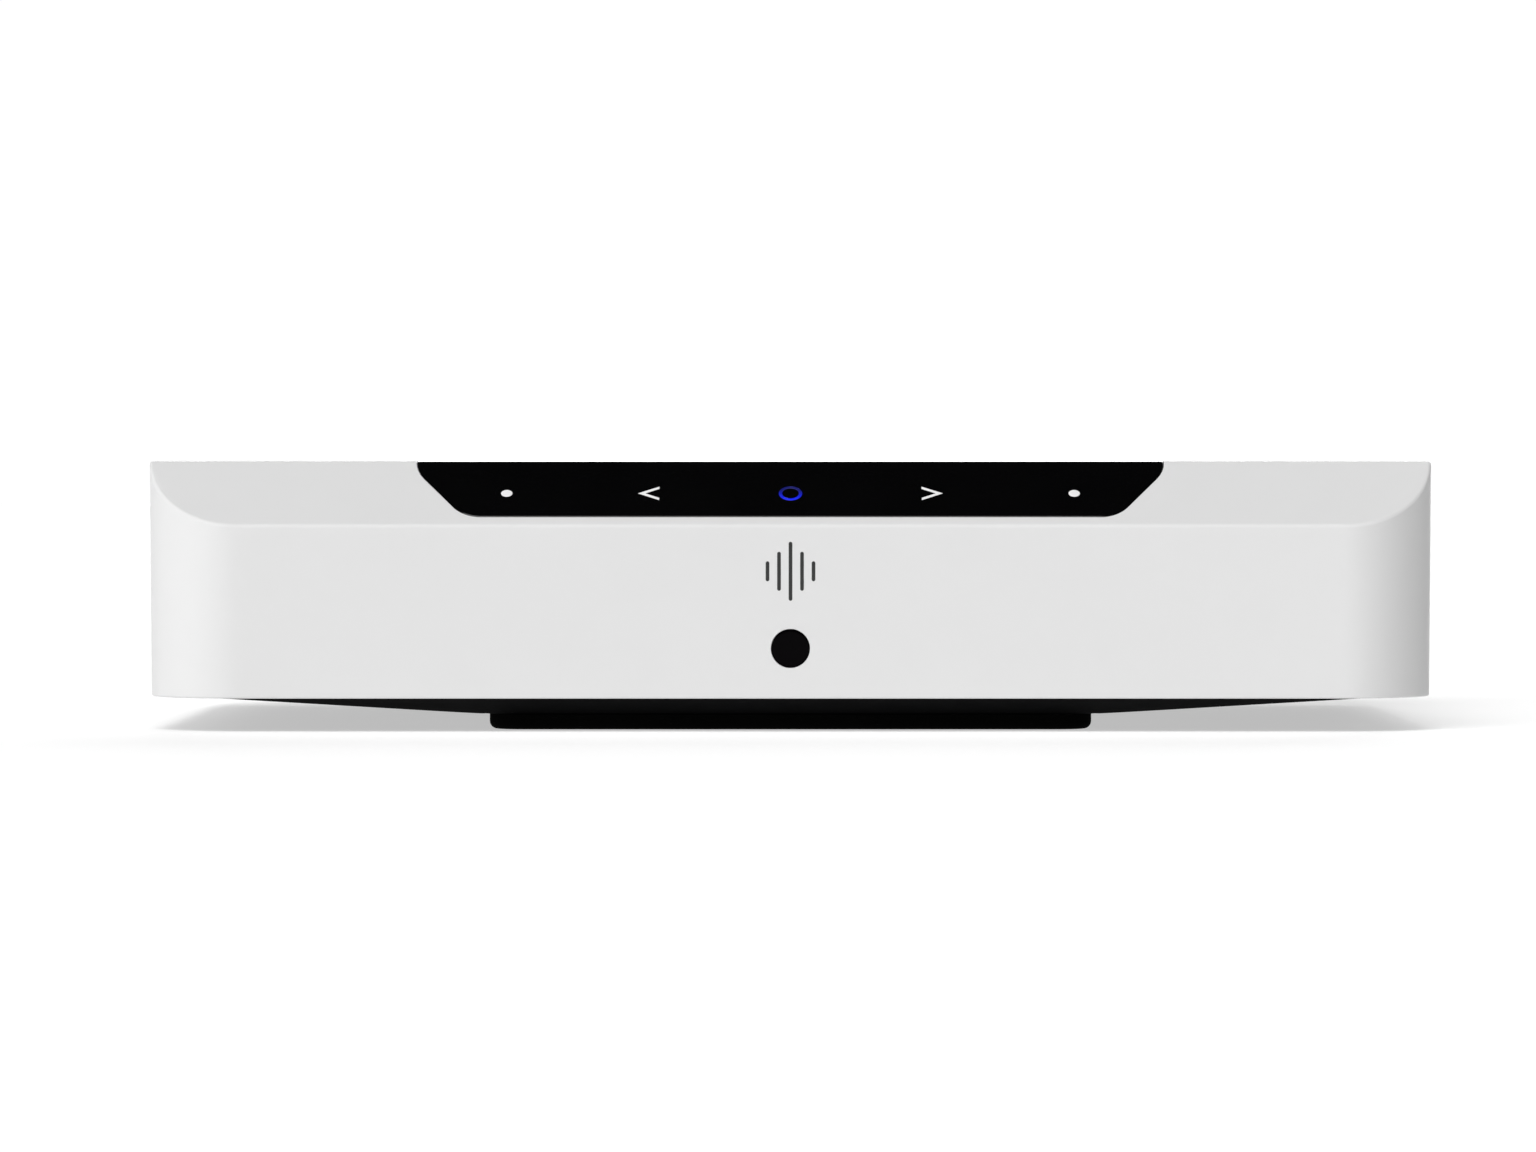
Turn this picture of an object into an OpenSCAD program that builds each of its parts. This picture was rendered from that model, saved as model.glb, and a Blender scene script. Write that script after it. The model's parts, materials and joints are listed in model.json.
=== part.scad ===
// Low desktop streaming player: white casing, black touch panel on the front slope,
// black underside on one rubber foot, and a row of sockets on the rear panel.
// X runs across the width, the front face looks towards -Y, and Z is up.
// The origin is on the table, at the middle of the overall width and depth.

/* [Casing] */
// Overall width
body_w = 220; // [216:1:228]
// Overall depth, from the front face to the tips of the rear jacks
overall_d = 146; // [144:1:156]
// Overall height, from the table to the top face
body_h = 46; // [45:0.5:50]
// Height of the white rim above the table
rim_z = 5.7; // [5.4:0.1:6.2]
// Radius of the front corners, seen from above
front_corner_r = 16; // [12:1:20]
// Radius of the rear corners, seen from above
rear_corner_r = 10; // [8:1:12]
// Wall thickness of the white casing
wall = 2.4; // [2.2:0.1:2.8]
// Thickness of the black underside
floor_t = 2; // [1.6:0.1:2.4]

/* [Front slope] */
// Height of the crease where the front face turns into the slope
crease_z = 35; // [34:0.5:36]
// How far back the slope reaches
slope_d = 15; // [14:0.5:16]

/* [Touch panel] */
// Distance from the front face to the panel's front edge, seen from above
panel_front = 2.2; // [2:0.1:3]
// Distance from the front face to the panel's rear edge, seen from above
panel_back = 21.4; // [20:0.2:24]
// Width between the sharp front corners, before rounding
panel_front_w = 111; // [100:1:116]
// Width between the sharp rear corners, before rounding
panel_back_w = 142; // [130:1:144]
// Radius of the panel's front corners
panel_front_r = 6; // [3:0.5:8]
// Radius of the panel's rear corners
panel_back_r = 6.4; // [3:0.2:8]
// Thickness of the panel
panel_t = 1.2; // [1:0.1:1.3]
// Distance between neighbouring touch symbols
symbol_pitch = 24.2; // [22:0.1:25]

/* [Infrared window] */
// Diameter of the round window
window_d = 6.5; // [5:0.1:8]
// Height of the window's centre above the table
window_z = 14.2; // [13:0.1:18]

/* [Underside] */
// Width of the rubber foot
foot_w = 103.5; // [90:0.5:110]
// Thickness of the rubber foot
foot_t = 2.6; // [2.4:0.1:3]
// How far the foot's front edge stands behind the front face
foot_front = 12; // [12:1:20]
// Half width of the sloping underside, where it meets the rim
belly_half_w = 98; // [92:1:100]

/* [Rear sockets] */
// How far the round jacks stand out behind the casing
jack_reach = 8; // [6:0.5:9]
// Outer diameter of the round jacks
jack_d = 8.3; // [8.2:0.05:8.4]
// Bore of the small stereo sockets
mini_bore_d = 3.6; // [3.55:0.05:3.8]
// Travel of the reset button
reset_travel = 0.5; // [0.3:0.1:0.6]

/* [Hidden] */
$fn = 64;

eps = 1;               // overrun of every cutting shape
half_w = body_w / 2;
front_y = -overall_d / 2;
rear_y = overall_d / 2 - jack_reach;
slope_y = front_y + slope_d;
slope_a = atan2(body_h - crease_z, slope_d);
slope_mid = [0, (front_y + slope_y) / 2, (crease_z + body_h) / 2];
symbol_s = -0.15;      // symbols sit just below the middle of the slope
symbol_t = 0.4;        // depth of the light windows in the panel
tape_t = 0.15;
pocket_gap = 0.12;     // gap round the panel in its pocket
guide_w = 104;         // opening behind the panel for the light guide
guide_h = 9;

cover_gap = 0.15;      // gap between the underside and the casing
cover_top = 9;
belly_z = foot_t;
foot_rear = rear_y - foot_front;

panel_recess = 1.5;    // the rear panel sits inside the casing's rear edge
panel_thick = 2;
rear_face = rear_y - panel_recess;
rear_inner = rear_face - panel_thick;
rear_open_half = 95;
rear_open_top = body_h - 4.5;
rear_gap = 0.2;
hole_gap = 0.1;        // gap round each socket in the rear panel

post_x = 99;
post_y = [-44, 40];
post_r = 3.6;
screw_r = 1.5;
head_r = 2.8;
seat_z = rim_z + 1.8;  // where the casing screws' heads bear

board_z = 10;
board_t = 1.6;
deck_z = board_z + board_t;
main_x = [-93, 50];
power_x = [54, 93];
board_y = [front_y + 13, rear_inner - 0.5];
board_screw_at = [
    [-89, -52], [46, -52], [-89, 34], [46, 34], [58, -52], [89, -52], [58, 34], [89, 34]
];
board_screw_r = 1.25;

inlet_x = 77;
network_x = 40;
reset_x = 27;
usb_x = 15;
optical_x = -1;
digital_x = -17;
sub_x = -32;
left_x = -47;
right_x = -62;
audio_mini_x = -76;
trigger_mini_x = -87;

jack_z = deck_z + 10.4;
jack_tip = overall_d / 2;
jack_wall = 0.7;
jack_flange_r = 5.6;
jack_flange_t = 1;
block_w = 14;
block_d = 12;
block_h = 20;
contact_r = 1.65;
contact_wall = 0.35;
collar_seat = 4;       // how far the collars and the contacts sink into their block
contact_seat = 9;

mini_z = deck_z + 4.6;
mini_nose_r = 3.2;
mini_depth = 13;

reset_z = deck_z + 4.4;
reset_r = 1.5;
reset_clear = 0.15;
reset_flange_y = rear_inner - 0.15;

inlet_z = deck_z + 7.6;
inlet_size = [24, 15.2];
inlet_front = rear_face + 0.8;
inlet_depth = 20;
inlet_lobe_r = 3.9;
inlet_pin_gap = 8.6;
inlet_pin_r = 1.2;
inlet_cavity = 11;

network_size = [16.2, 21.5, 13.6];
network_front = rear_face + 0.4;
network_mouth = [11.9, 7.4];
network_mouth_z = deck_z + 4.2;
network_cavity = 14;

usb_size = [13.2, 14.5, 5.8];
usb_front = rear_face + 0.4;
usb_z = deck_z + 0.4;
usb_wall = 0.35;
usb_tongue_w = 11.1;
usb_tongue_t = 1.8;

optical_size = [12, 16, 13];
optical_front = rear_face + 0.4;
optical_mouth = [8.8, 10.3, 9.4];
optical_mouth_z = deck_z + 2;
shutter_y = optical_front - 1.1;
shutter_z = optical_mouth_z + optical_mouth[2] - 1;
shutter_pin_r = 0.6;
shutter_pin_gap = 0.05;
shutter_t = 0.8;
optical_axis_z = optical_mouth_z + 4.4;
emitter_r = 1.55;

panel_screw_x = [(digital_x + sub_x) / 2, (left_x + right_x) / 2];
panel_screw_z = jack_z + 7;
panel_head_t = 1.3;
casing_head_t = 1.6;
recess_arm = 2.6;      // cross recess in the screw heads
recess_slot = 0.6;
recess_depth = 0.9;

ribbon_y = slope_y - 4;
ribbon_half = 6;
ribbon_t = 0.3;
can_corner = [-16, -34];    // front left corner of the processor's can
can_side = 32;
can_h = 2.6;
can_t = 0.3;           // sheet of the shielding cans
pad_t = 1;
spreader_t = 2;
fin_t = 1.2;
capacitor_r = 3.9;
capacitor_h = 11;
module_x = [-80, -58]; // wireless module, standing in its edge socket
module_y = [-53, -25];
module_z = deck_z + 2.4;
module_t = 1;
antenna_z = 24;
antenna_y = -34;
antenna_size = [0.8, 40, 8];
cable_r = 0.6;
cable_y = -50;
cable_z = deck_z + 9;
cable_bend = 4;
wire_r = 0.7;
fuse_y = 29;
fuse_z = deck_z + 5;
fuse_cap_r = 2.6;
fuse_glass_r = 2.5;
film_t = 0.4;

// Box from its lowest and highest corner
module slab(low, high) {
    translate(low) cube(high - low);
}

// Cylinder along Y, from y0 to y1
module rod_y(x, z, r, y0, y1) {
    translate([x, y1, z]) rotate([90, 0, 0]) cylinder(r = r, h = y1 - y0);
}

// Casing outline seen from above, moved inwards by inset
module plan(inset) {
    corner_f = front_corner_r - inset;
    corner_r = rear_corner_r - inset;
    translate([-half_w + inset, front_y + front_corner_r])
        square([body_w - 2 * inset, rear_y - rear_corner_r - front_y - front_corner_r]);
    translate([-half_w + front_corner_r, front_y + inset])
        square([body_w - 2 * front_corner_r, overall_d / 2]);
    translate([-half_w + rear_corner_r, 0])
        square([body_w - 2 * rear_corner_r, rear_y - inset]);
    for (side = [-1, 1]) {
        translate([side * (half_w - front_corner_r), front_y + front_corner_r]) circle(r = corner_f);
        translate([side * (half_w - rear_corner_r), rear_y - rear_corner_r]) circle(r = corner_r);
    }
}

// Side-view points of the outer skin, moved inwards by depth
function low_crease(depth) = [front_y + depth, crease_z - depth * tan((90 - slope_a) / 2)];
function high_crease(depth) = [slope_y + depth * tan(slope_a / 2), body_h - depth];

// Extrude a side view, drawn as [y, z], across the width
module across(width) {
    translate([-width / 2, 0, 0]) rotate([90, 0, 90]) linear_extrude(width) children();
}

// Extrude a front view, drawn as [x, z], from y0 to y1
module along(y0, y1) {
    translate([0, y1, 0]) rotate([90, 0, 0]) linear_extrude(y1 - y0) children();
}

// Closed side view below the skin at this depth
module side_view(depth, bottom) {
    polygon([
        [front_y + depth, bottom], low_crease(depth), high_crease(depth),
        [rear_y + eps, body_h - depth], [rear_y + eps, bottom]
    ]);
}

// Bent band between two depths of the skin, over the slope and the top
module skin_band(outer, inner, width) {
    across(width) polygon([
        low_crease(outer), high_crease(outer), [slope_y + 30, body_h - outer],
        [slope_y + 30, body_h - inner], high_crease(inner), low_crease(inner)
    ]);
}

// Put children on the slope: local Y climbs the slope, local Z points out of it
module on_slope(climb = 0) {
    translate(slope_mid) rotate([slope_a, 0, 0]) translate([0, climb, 0]) children();
}

// Arc that rounds the corner at point b between a and c
function unit(v) = v / norm(v);
function corner_arc(a, b, c, r, steps = 10) =
    let (
        to_a = unit(a - b),
        to_c = unit(c - b),
        half = acos(to_a * to_c) / 2,
        centre = b + unit(to_a + to_c) * r / sin(half),
        start = b + to_a * r / tan(half) - centre,
        turn = (180 - 2 * half) * sign(start[0] * to_a[1] - start[1] * to_a[0])
    )
    [for (i = [0:steps]) let (t = -turn * i / steps)
        centre + [start[0] * cos(t) - start[1] * sin(t), start[0] * sin(t) + start[1] * cos(t)]];

// Touch panel outline seen from above, grown by grow
module panel_outline(grow = 0) {
    front_left = [-panel_front_w / 2 - grow * 0.5, front_y + panel_front - grow];
    front_right = [-front_left[0], front_left[1]];
    back_left = [-panel_back_w / 2 - grow * 1.6, front_y + panel_back + grow];
    back_right = [-back_left[0], back_left[1]];
    polygon(concat(
        corner_arc(back_left, front_left, front_right, panel_front_r),
        corner_arc(front_left, front_right, back_right, panel_front_r),
        corner_arc(front_right, back_right, back_left, panel_back_r),
        corner_arc(back_right, back_left, front_left, panel_back_r)
    ));
}

module panel_prism(grow = 0) {
    translate([0, 0, crease_z - 10]) linear_extrude(body_h) panel_outline(grow);
}

// Opening in the casing behind the panel, for the light guide
module guide_block(grow, top, bottom) {
    on_slope() slab([-guide_w / 2 - grow, -guide_h / 2 - grow, bottom],
                    [guide_w / 2 + grow, guide_h / 2 + grow, top]);
}

module at_posts() {
    for (x = [-post_x, post_x], y = post_y) translate([x, y, 0]) children();
}

module top_shell() {
    color("whitesmoke") {
        difference() {
            intersection() {
                translate([0, 0, rim_z]) linear_extrude(body_h - rim_z) plan(0);
                across(body_w) side_view(0, 0);
            }
            intersection() {
                linear_extrude(body_h) plan(wall);
                across(body_w) side_view(wall, 0);
            }
            slab([-rear_open_half, rear_y - wall - eps, 0], [rear_open_half, rear_y + eps, rear_open_top]);
            intersection() {
                panel_prism(pocket_gap);
                skin_band(-eps, panel_t + tape_t, body_w);
            }
            guide_block(0.2, 0, -wall - eps);
            rod_y(0, window_z, window_d / 2 + 0.05, front_y - eps, front_y + wall + eps);
        }
        difference() {
            at_posts() translate([0, 0, cover_top + 0.1])
                cylinder(r = post_r, h = body_h - wall - cover_top - 0.1);
            at_posts() translate([0, 0, cover_top - eps]) cylinder(r = screw_r + 0.05, h = 12);
        }
    }
}

// Underside, drawn as a front view and as a side view, lifted by rise
module belly(rise, top, inset) {
    intersection() {
        linear_extrude(top) {
            plan(wall + cover_gap + inset);
            translate([-rear_open_half + rear_gap + inset, 0])
                square([2 * (rear_open_half - rear_gap - inset), rear_y - inset]);
        }
        along(front_y, rear_y + eps) polygon([
            [-half_w, top + eps], [-half_w, rim_z + rise], [-belly_half_w, rim_z + rise],
            [-foot_w / 2, belly_z + rise], [foot_w / 2, belly_z + rise],
            [belly_half_w, rim_z + rise], [half_w, rim_z + rise], [half_w, top + eps]
        ]);
        across(body_w) polygon([
            [front_y, top + eps], [front_y, rim_z + rise], [front_y + wall, rim_z + rise],
            [front_y + foot_front, belly_z + rise], [foot_rear, belly_z + rise],
            [rear_y - wall, rim_z + rise], [rear_y + eps, rim_z + rise], [rear_y + eps, top + eps]
        ]);
    }
}

module bottom_cover() {
    color("black") difference() {
        union() {
            difference() {
                belly(0, cover_top, 0);
                belly(floor_t, cover_top + eps, floor_t);
            }
            intersection() {
                belly(0, board_z, 0);
                union() {
                    for (at = board_screw_at) translate([at[0], at[1], 0]) cylinder(r = 3, h = board_z);
                    at_posts() cylinder(r = post_r + 0.6, h = cover_top);
                }
            }
        }
        for (at = board_screw_at)
            translate([at[0], at[1], board_z - 3]) cylinder(r = board_screw_r + 0.05, h = 3 + eps);
        at_posts() translate([0, 0, -eps]) cylinder(r = head_r + 0.3, h = seat_z + eps);
        at_posts() cylinder(r = screw_r + 0.2, h = cover_top + eps);
    }
}

module rubber_foot() {
    corner = 6;
    edge_r = 1.3;
    long = foot_rear - front_y - foot_front;
    color("dimgray") translate([0, front_y + foot_front + long / 2, 0]) {
        translate([0, 0, edge_r]) linear_extrude(foot_t - edge_r) foot_outline(foot_w, long, corner);
        linear_extrude(edge_r) foot_outline(foot_w - 2 * edge_r, long - 2 * edge_r, corner - edge_r);
        for (x = [-1, 1], y = [-1, 1])
            translate([x * (foot_w / 2 - corner), y * (long / 2 - corner), edge_r])
                rotate_extrude() translate([corner - edge_r, 0]) quarter_disc(edge_r);
        for (x = [-1, 1])
            translate([x * (foot_w / 2 - edge_r), long / 2 - corner, edge_r])
                rotate([90, 0, 0]) linear_extrude(long - 2 * corner) round_side(edge_r, x);
        for (y = [-1, 1])
            translate([-foot_w / 2 + corner, y * (long / 2 - edge_r), edge_r])
                rotate([90, 0, 90]) linear_extrude(foot_w - 2 * corner) round_side(edge_r, y);
    }
}

module foot_outline(w, l, r) {
    square([w, l - 2 * r], center = true);
    square([w - 2 * r, l], center = true);
    for (x = [-1, 1], y = [-1, 1]) translate([x * (w / 2 - r), y * (l / 2 - r)]) circle(r = r);
}

// Quarter disc in the lower right quadrant
module quarter_disc(r) {
    intersection() {
        circle(r = r);
        translate([0, -r]) square([r, r]);
    }
}

module round_side(r, side) {
    mirror([side < 0 ? 1 : 0, 0]) quarter_disc(r);
}

module rear_panel() {
    z0 = cover_top + 0.1;
    color("black") difference() {
        slab([-rear_open_half + rear_gap, rear_inner, z0],
             [rear_open_half - rear_gap, rear_face, rear_open_top - rear_gap]);
        socket_hole(inlet_x, inlet_size[0], inlet_size[1], deck_z);
        socket_hole(network_x, network_size[0], network_size[2], deck_z);
        socket_hole(usb_x, usb_size[0], usb_size[2], usb_z);
        socket_hole(optical_x, optical_size[0], optical_size[2], deck_z);
        for (x = [digital_x, sub_x, left_x, right_x])
            rod_y(x, jack_z, jack_d / 2 + hole_gap, rear_inner - eps, rear_face + eps);
        for (x = [audio_mini_x, trigger_mini_x])
            rod_y(x, mini_z, mini_nose_r + hole_gap, rear_inner - eps, rear_face + eps);
        rod_y(reset_x, reset_z, reset_r + reset_clear, rear_inner - eps, rear_face + eps);
        for (x = panel_screw_x)
            rod_y(x, panel_screw_z, screw_r + hole_gap, rear_inner - eps, rear_face + eps);
    }
}

module socket_hole(x, width, height, z) {
    slab([x - width / 2 - hole_gap, rear_inner - eps, z - hole_gap],
         [x + width / 2 + hole_gap, rear_face + eps, z + height + hole_gap]);
}

module casing_screws() {
    color("silver") at_posts() difference() {
        union() {
            translate([0, 0, seat_z - casing_head_t]) cylinder(r = head_r, h = casing_head_t);
            translate([0, 0, seat_z]) cylinder(r = screw_r, h = 10);
        }
        cross_recess(seat_z - casing_head_t);
    }
}

// Cross-shaped driver recess cut upwards into a head whose face is at z
module cross_recess(z) {
    for (turn = [0, 90]) rotate([0, 0, turn])
        translate([-recess_arm / 2, -recess_slot / 2, z - eps])
            cube([recess_arm, recess_slot, eps + recess_depth]);
}

module panel_screws() {
    color("black") for (x = panel_screw_x)
        translate([x, rear_face, panel_screw_z]) rotate([-90, 0, 0]) difference() {
            union() {
                cylinder(r = head_r, h = panel_head_t);
                translate([0, 0, -8]) cylinder(r = screw_r, h = 8);
            }
            translate([0, 0, panel_head_t]) mirror([0, 0, 1]) cross_recess(0);
        }
}

module touch_panel() {
    color("black") difference() {
        intersection() {
            panel_prism();
            skin_band(0, panel_t, body_w);
        }
        symbol_dots(symbol_t + eps);
        symbol_arrows(symbol_t + eps);
        symbol_ring(symbol_t + eps);
    }
}

// The symbols reach from symbol_t below the surface up to height above that
module symbol_dots(height) {
    for (side = [-1, 1]) on_slope(symbol_s) translate([side * 2 * symbol_pitch, 0, -symbol_t])
        cylinder(d = 1.9, h = height);
}

module symbol_arrows(height) {
    for (side = [-1, 1]) on_slope(symbol_s) translate([side * symbol_pitch, 0, -symbol_t])
        mirror([side > 0 ? 1 : 0, 0, 0]) linear_extrude(height) arrow_outline();
}

// Open arrowhead pointing to -X
module arrow_outline() {
    polygon([[-1.8, 0], [1.8, 1.9], [1.8, 1.2], [-0.4, 0], [1.8, -1.2], [1.8, -1.9]]);
}

module symbol_ring(height) {
    on_slope(symbol_s) translate([0, 0, -symbol_t]) difference() {
        cylinder(r = 2, h = height);
        translate([0, 0, -eps]) cylinder(r = 1.4, h = height + 2 * eps);
    }
}

module touch_dots() {
    color("white") symbol_dots(symbol_t);
}

module touch_arrows() {
    color("white") symbol_arrows(symbol_t);
}

module status_ring() {
    color("royalblue") symbol_ring(symbol_t);
}

module panel_tape() {
    color("gray") difference() {
        intersection() {
            panel_prism(-0.5);
            skin_band(panel_t, panel_t + tape_t, body_w);
        }
        guide_block(0.2, 0, -wall);
    }
}

module light_guide() {
    color("white") guide_block(0, -panel_t - 0.05, -wall);
}

module touch_board() {
    color("darkgreen") {
        on_slope() slab([-60, -6, -wall - 1.05], [60, 5.5, -wall - 0.05]);
        on_slope() slab([-8, 1.2, -wall - 2.4], [8, 4.4, -wall - 1.05]);
    }
}

module touch_ribbon() {
    top = slope_mid[2] - 3.4;
    socket_top = deck_z + 2;
    color("orange") {
        slab([-ribbon_half, ribbon_y, socket_top + ribbon_t], [ribbon_half, ribbon_y + ribbon_t, top]);
        slab([-ribbon_half, ribbon_y, socket_top], [ribbon_half, ribbon_y + 9, socket_top + ribbon_t]);
    }
}

module ir_window() {
    back = front_y + wall;
    flange_r = window_d / 2 + 1.2;
    color("black") {
        rod_y(0, window_z, window_d / 2, front_y, back);
        rod_y(0, window_z, flange_r, back, back + 1);
    }
}

module ir_receiver() {
    front = front_y + wall + 1.4;
    back = front + 5;
    leg_pitch = 2.54;
    leg_half = 0.3;
    color("black") {
        slab([-3.5, front, window_z - 3.2], [3.5, back, window_z + 4.4]);
        for (i = [-1:1])
            slab([i * leg_pitch - leg_half, back, deck_z + 0.1],
                 [i * leg_pitch + leg_half, back + 4, deck_z + 0.6]);
    }
}

module board_plate(x, holes) {
    difference() {
        slab([x[0], board_y[0], board_z], [x[1], board_y[1], deck_z]);
        for (at = holes) translate([at[0], at[1], board_z - eps])
            cylinder(r = board_screw_r + 0.2, h = board_t + 2 * eps);
    }
}

// Chip or connector standing on a board, from its front left corner and its size
module chip(x, y, size) {
    translate([x, y, deck_z]) cube(size);
}

module main_board() {
    color("darkgreen") {
        board_plate(main_x, [for (i = [0:3]) board_screw_at[i]]);
        chip(-ribbon_half - 1, ribbon_y + 5.6, [2 * ribbon_half + 2, 3.4, 2]);
        chip(-40, -20, [12, 12, 1.2]);
        chip(-60, -8, [10, 12, 1.2]);
        for (i = [0:3]) chip(16 + 7 * i, -50, [4, 8, 1.1]);
    }
}

module power_board() {
    color("darkolivegreen") {
        board_plate(power_x, [for (i = [4:7]) board_screw_at[i]]);
        chip(56, -40, [4, 12, 7]);
    }
}

module board_screws() {
    head_t = 1.4;
    grip = 2.5;
    color("silver") for (at = board_screw_at) translate([at[0], at[1], deck_z]) difference() {
        union() {
            cylinder(r = 2.4, h = head_t);
            translate([0, 0, -board_t - grip]) cylinder(r = board_screw_r, h = board_t + grip);
        }
        translate([0, 0, head_t]) mirror([0, 0, 1]) cross_recess(0);
    }
}

// Open-bottomed shielding can from its front left corner, its plan size and its height
module shield_can(corner, size, height) {
    translate([corner[0], corner[1], deck_z]) difference() {
        cube([size[0], size[1], height]);
        translate([can_t, can_t, -eps])
            cube([size[0] - 2 * can_t, size[1] - 2 * can_t, height - can_t + eps]);
    }
}

module processor_can() {
    color("silver") shield_can(can_corner, [can_side, can_side], can_h);
}

module thermal_pad() {
    inset = 4;
    color("lightblue") translate([can_corner[0] + inset, can_corner[1] + inset, deck_z + can_h])
        cube([can_side - 2 * inset, can_side - 2 * inset, pad_t]);
}

module heat_spreader() {
    size = [44, 42];
    fins = 9;
    pitch = (size[0] - fin_t) / (fins - 1);
    color("silver") translate([can_corner[0] - 6, can_corner[1] - 2, deck_z + can_h + pad_t]) {
        cube([size[0], size[1], spreader_t]);
        for (i = [0:fins - 1]) translate([pitch * i, 0, 0]) cube([fin_t, size[1], spreader_t + 8]);
    }
}

module audio_can() {
    color("silver") shield_can([-52, 16], [36, 22], 3);
}

module board_capacitors() {
    crimp = 0.5;
    color("darkslateblue") for (i = [0:3], j = [0:1])
        translate([-86 + 10 * i, 12 + 11 * j, deck_z]) {
            cylinder(r = capacitor_r, h = capacitor_h);
            translate([0, 0, capacitor_h]) cylinder(r = capacitor_r - crimp, h = crimp);
        }
}

module wireless_module() {
    color("teal") {
        slab([module_x[0], module_y[1], deck_z], [module_x[1], module_y[1] + 2, deck_z + 4]);
        slab([module_x[0], module_y[0], module_z], [module_x[1], module_y[1], module_z + module_t]);
        slab([module_x[0] + 2, module_y[0] + 7, module_z + module_t],
             [module_x[1] - 2, module_y[1] - 3, module_z + module_t + 2]);
    }
}

module antennas() {
    reach = half_w - wall - antenna_size[0] / 2;
    color("goldenrod") for (side = [-1, 1])
        translate([side * reach, antenna_y, antenna_z + antenna_size[2] / 2])
            cube(antenna_size, center = true);
}

// Quarter bend in the XZ plane, from running along X to running up
module bend_up(x, y, z, side) {
    translate([x, y, z + cable_bend]) mirror([side < 0 ? 1 : 0, 0, 0])
        rotate([90, 0, 0]) rotate([0, 0, -90])
            rotate_extrude(angle = 90) translate([cable_bend, 0]) circle(r = cable_r);
}

module rod_x(x0, x1, y, z, r) {
    translate([x0, y, z]) rotate([0, 90, 0]) cylinder(r = r, h = x1 - x0);
}

// One antenna lead: a plug on the module, a run to the side wall and a rise to the antenna
module antenna_cable(x0, y, side) {
    reach = half_w - wall - antenna_size[0] - cable_r - 0.3;
    corner = side * (reach - cable_bend);
    plug_z = module_z + module_t;
    rise = 4;
    translate([x0, y, plug_z]) cylinder(r = 1.3, h = cable_z - plug_z + cable_r);
    rod_x(min(x0, corner), max(x0, corner), y, cable_z, cable_r);
    bend_up(corner, y, cable_z, side);
    translate([side * reach, y, cable_z + cable_bend]) cylinder(r = cable_r, h = rise);
    translate([side * (reach + 0.4), y, cable_z + cable_bend + rise]) cube([1, 2.4, 2.4], center = true);
}

module antenna_cables() {
    color("black") {
        antenna_cable(-76, cable_y, -1);
        antenna_cable(-62, cable_y, 1);
    }
}

module power_transformer() {
    color("gold") {
        slab([62, -6, deck_z + 3], [86, 16, deck_z + 15]);
        slab([64, -10, deck_z], [84, 20, deck_z + 3]);
        slab([64, -9, deck_z + 15], [84, 19, deck_z + 17]);
    }
}

module power_capacitor() {
    can_r = 8;
    long = 21;
    dish = 0.4;
    color("midnightblue") translate([70, -37, deck_z + can_r + 0.2]) rotate([0, 90, 0]) difference() {
        cylinder(r = can_r, h = long);
        translate([0, 0, long - dish]) cylinder(r = can_r - 1.5, h = eps);
    }
}

module power_heatsink() {
    fins = 7;
    high = 18;
    width = 28;
    color("dimgray") translate([60, -22, deck_z]) {
        cube([width, 1.5, high]);
        for (i = [0:fins - 1]) translate([4.4 * i, 1.5, 0]) cube([1.4, 6.5, high]);
    }
}

module mains_fuse() {
    ends = [64, 84];
    cap_l = 5;
    color("silver") {
        rod_x(ends[0], ends[0] + cap_l, fuse_y, fuse_z, fuse_cap_r);
        rod_x(ends[0] + cap_l, ends[1] - cap_l, fuse_y, fuse_z, fuse_glass_r);
        rod_x(ends[1] - cap_l, ends[1], fuse_y, fuse_z, fuse_cap_r);
        for (x = [ends[0], ends[1] - cap_l])
            slab([x + 1, fuse_y - 2, deck_z], [x + cap_l - 1, fuse_y + 2, fuse_z - 1.8]);
    }
}

// Clear film under the power board, clear of the screw posts
module insulation_sheet() {
    top = board_z - 0.5;
    color("white") difference() {
        slab([power_x[0], board_y[0] + 8, top - film_t], [power_x[1] - 1, board_y[1] - 4, top]);
        for (at = board_screw_at) translate([at[0], at[1], top - film_t - eps])
            cylinder(r = 3.2, h = film_t + 2 * eps);
    }
}

module power_harness() {
    plug_top = deck_z + 6;
    run_z = deck_z + 9.5;
    board_x = [46, 58];
    color("red") {
        slab([board_x[0] - 2, -38, deck_z], [board_x[0] + 2, -30, plug_top]);
        for (i = [0:3]) {
            y = -37 + 2 * i;
            translate([board_x[0], y, plug_top]) cylinder(r = wire_r, h = run_z - plug_top);
            rod_x(board_x[0], board_x[1], y, run_z, wire_r);
            translate([board_x[1], y, run_z - 2.5]) cylinder(r = wire_r, h = 2.5);
        }
    }
}

// Figure-of-eight outline of the mains inlet's mouth
module inlet_mouth() {
    for (side = [-1, 1]) translate([side * inlet_lobe_r, 0]) circle(r = inlet_lobe_r);
    square([2 * inlet_lobe_r, 1.5 * inlet_lobe_r], center = true);
}

module mains_inlet() {
    color("black") difference() {
        slab([inlet_x - inlet_size[0] / 2, inlet_front - inlet_depth, deck_z],
             [inlet_x + inlet_size[0] / 2, inlet_front, deck_z + inlet_size[1]]);
        translate([inlet_x, inlet_front + eps, inlet_z]) rotate([90, 0, 0])
            linear_extrude(inlet_cavity + eps) inlet_mouth();
        for (side = [-1, 1])
            rod_y(inlet_x + side * inlet_pin_gap / 2, inlet_z, inlet_pin_r,
                  inlet_front - inlet_depth - eps, inlet_front - inlet_cavity + eps);
    }
}

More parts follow.
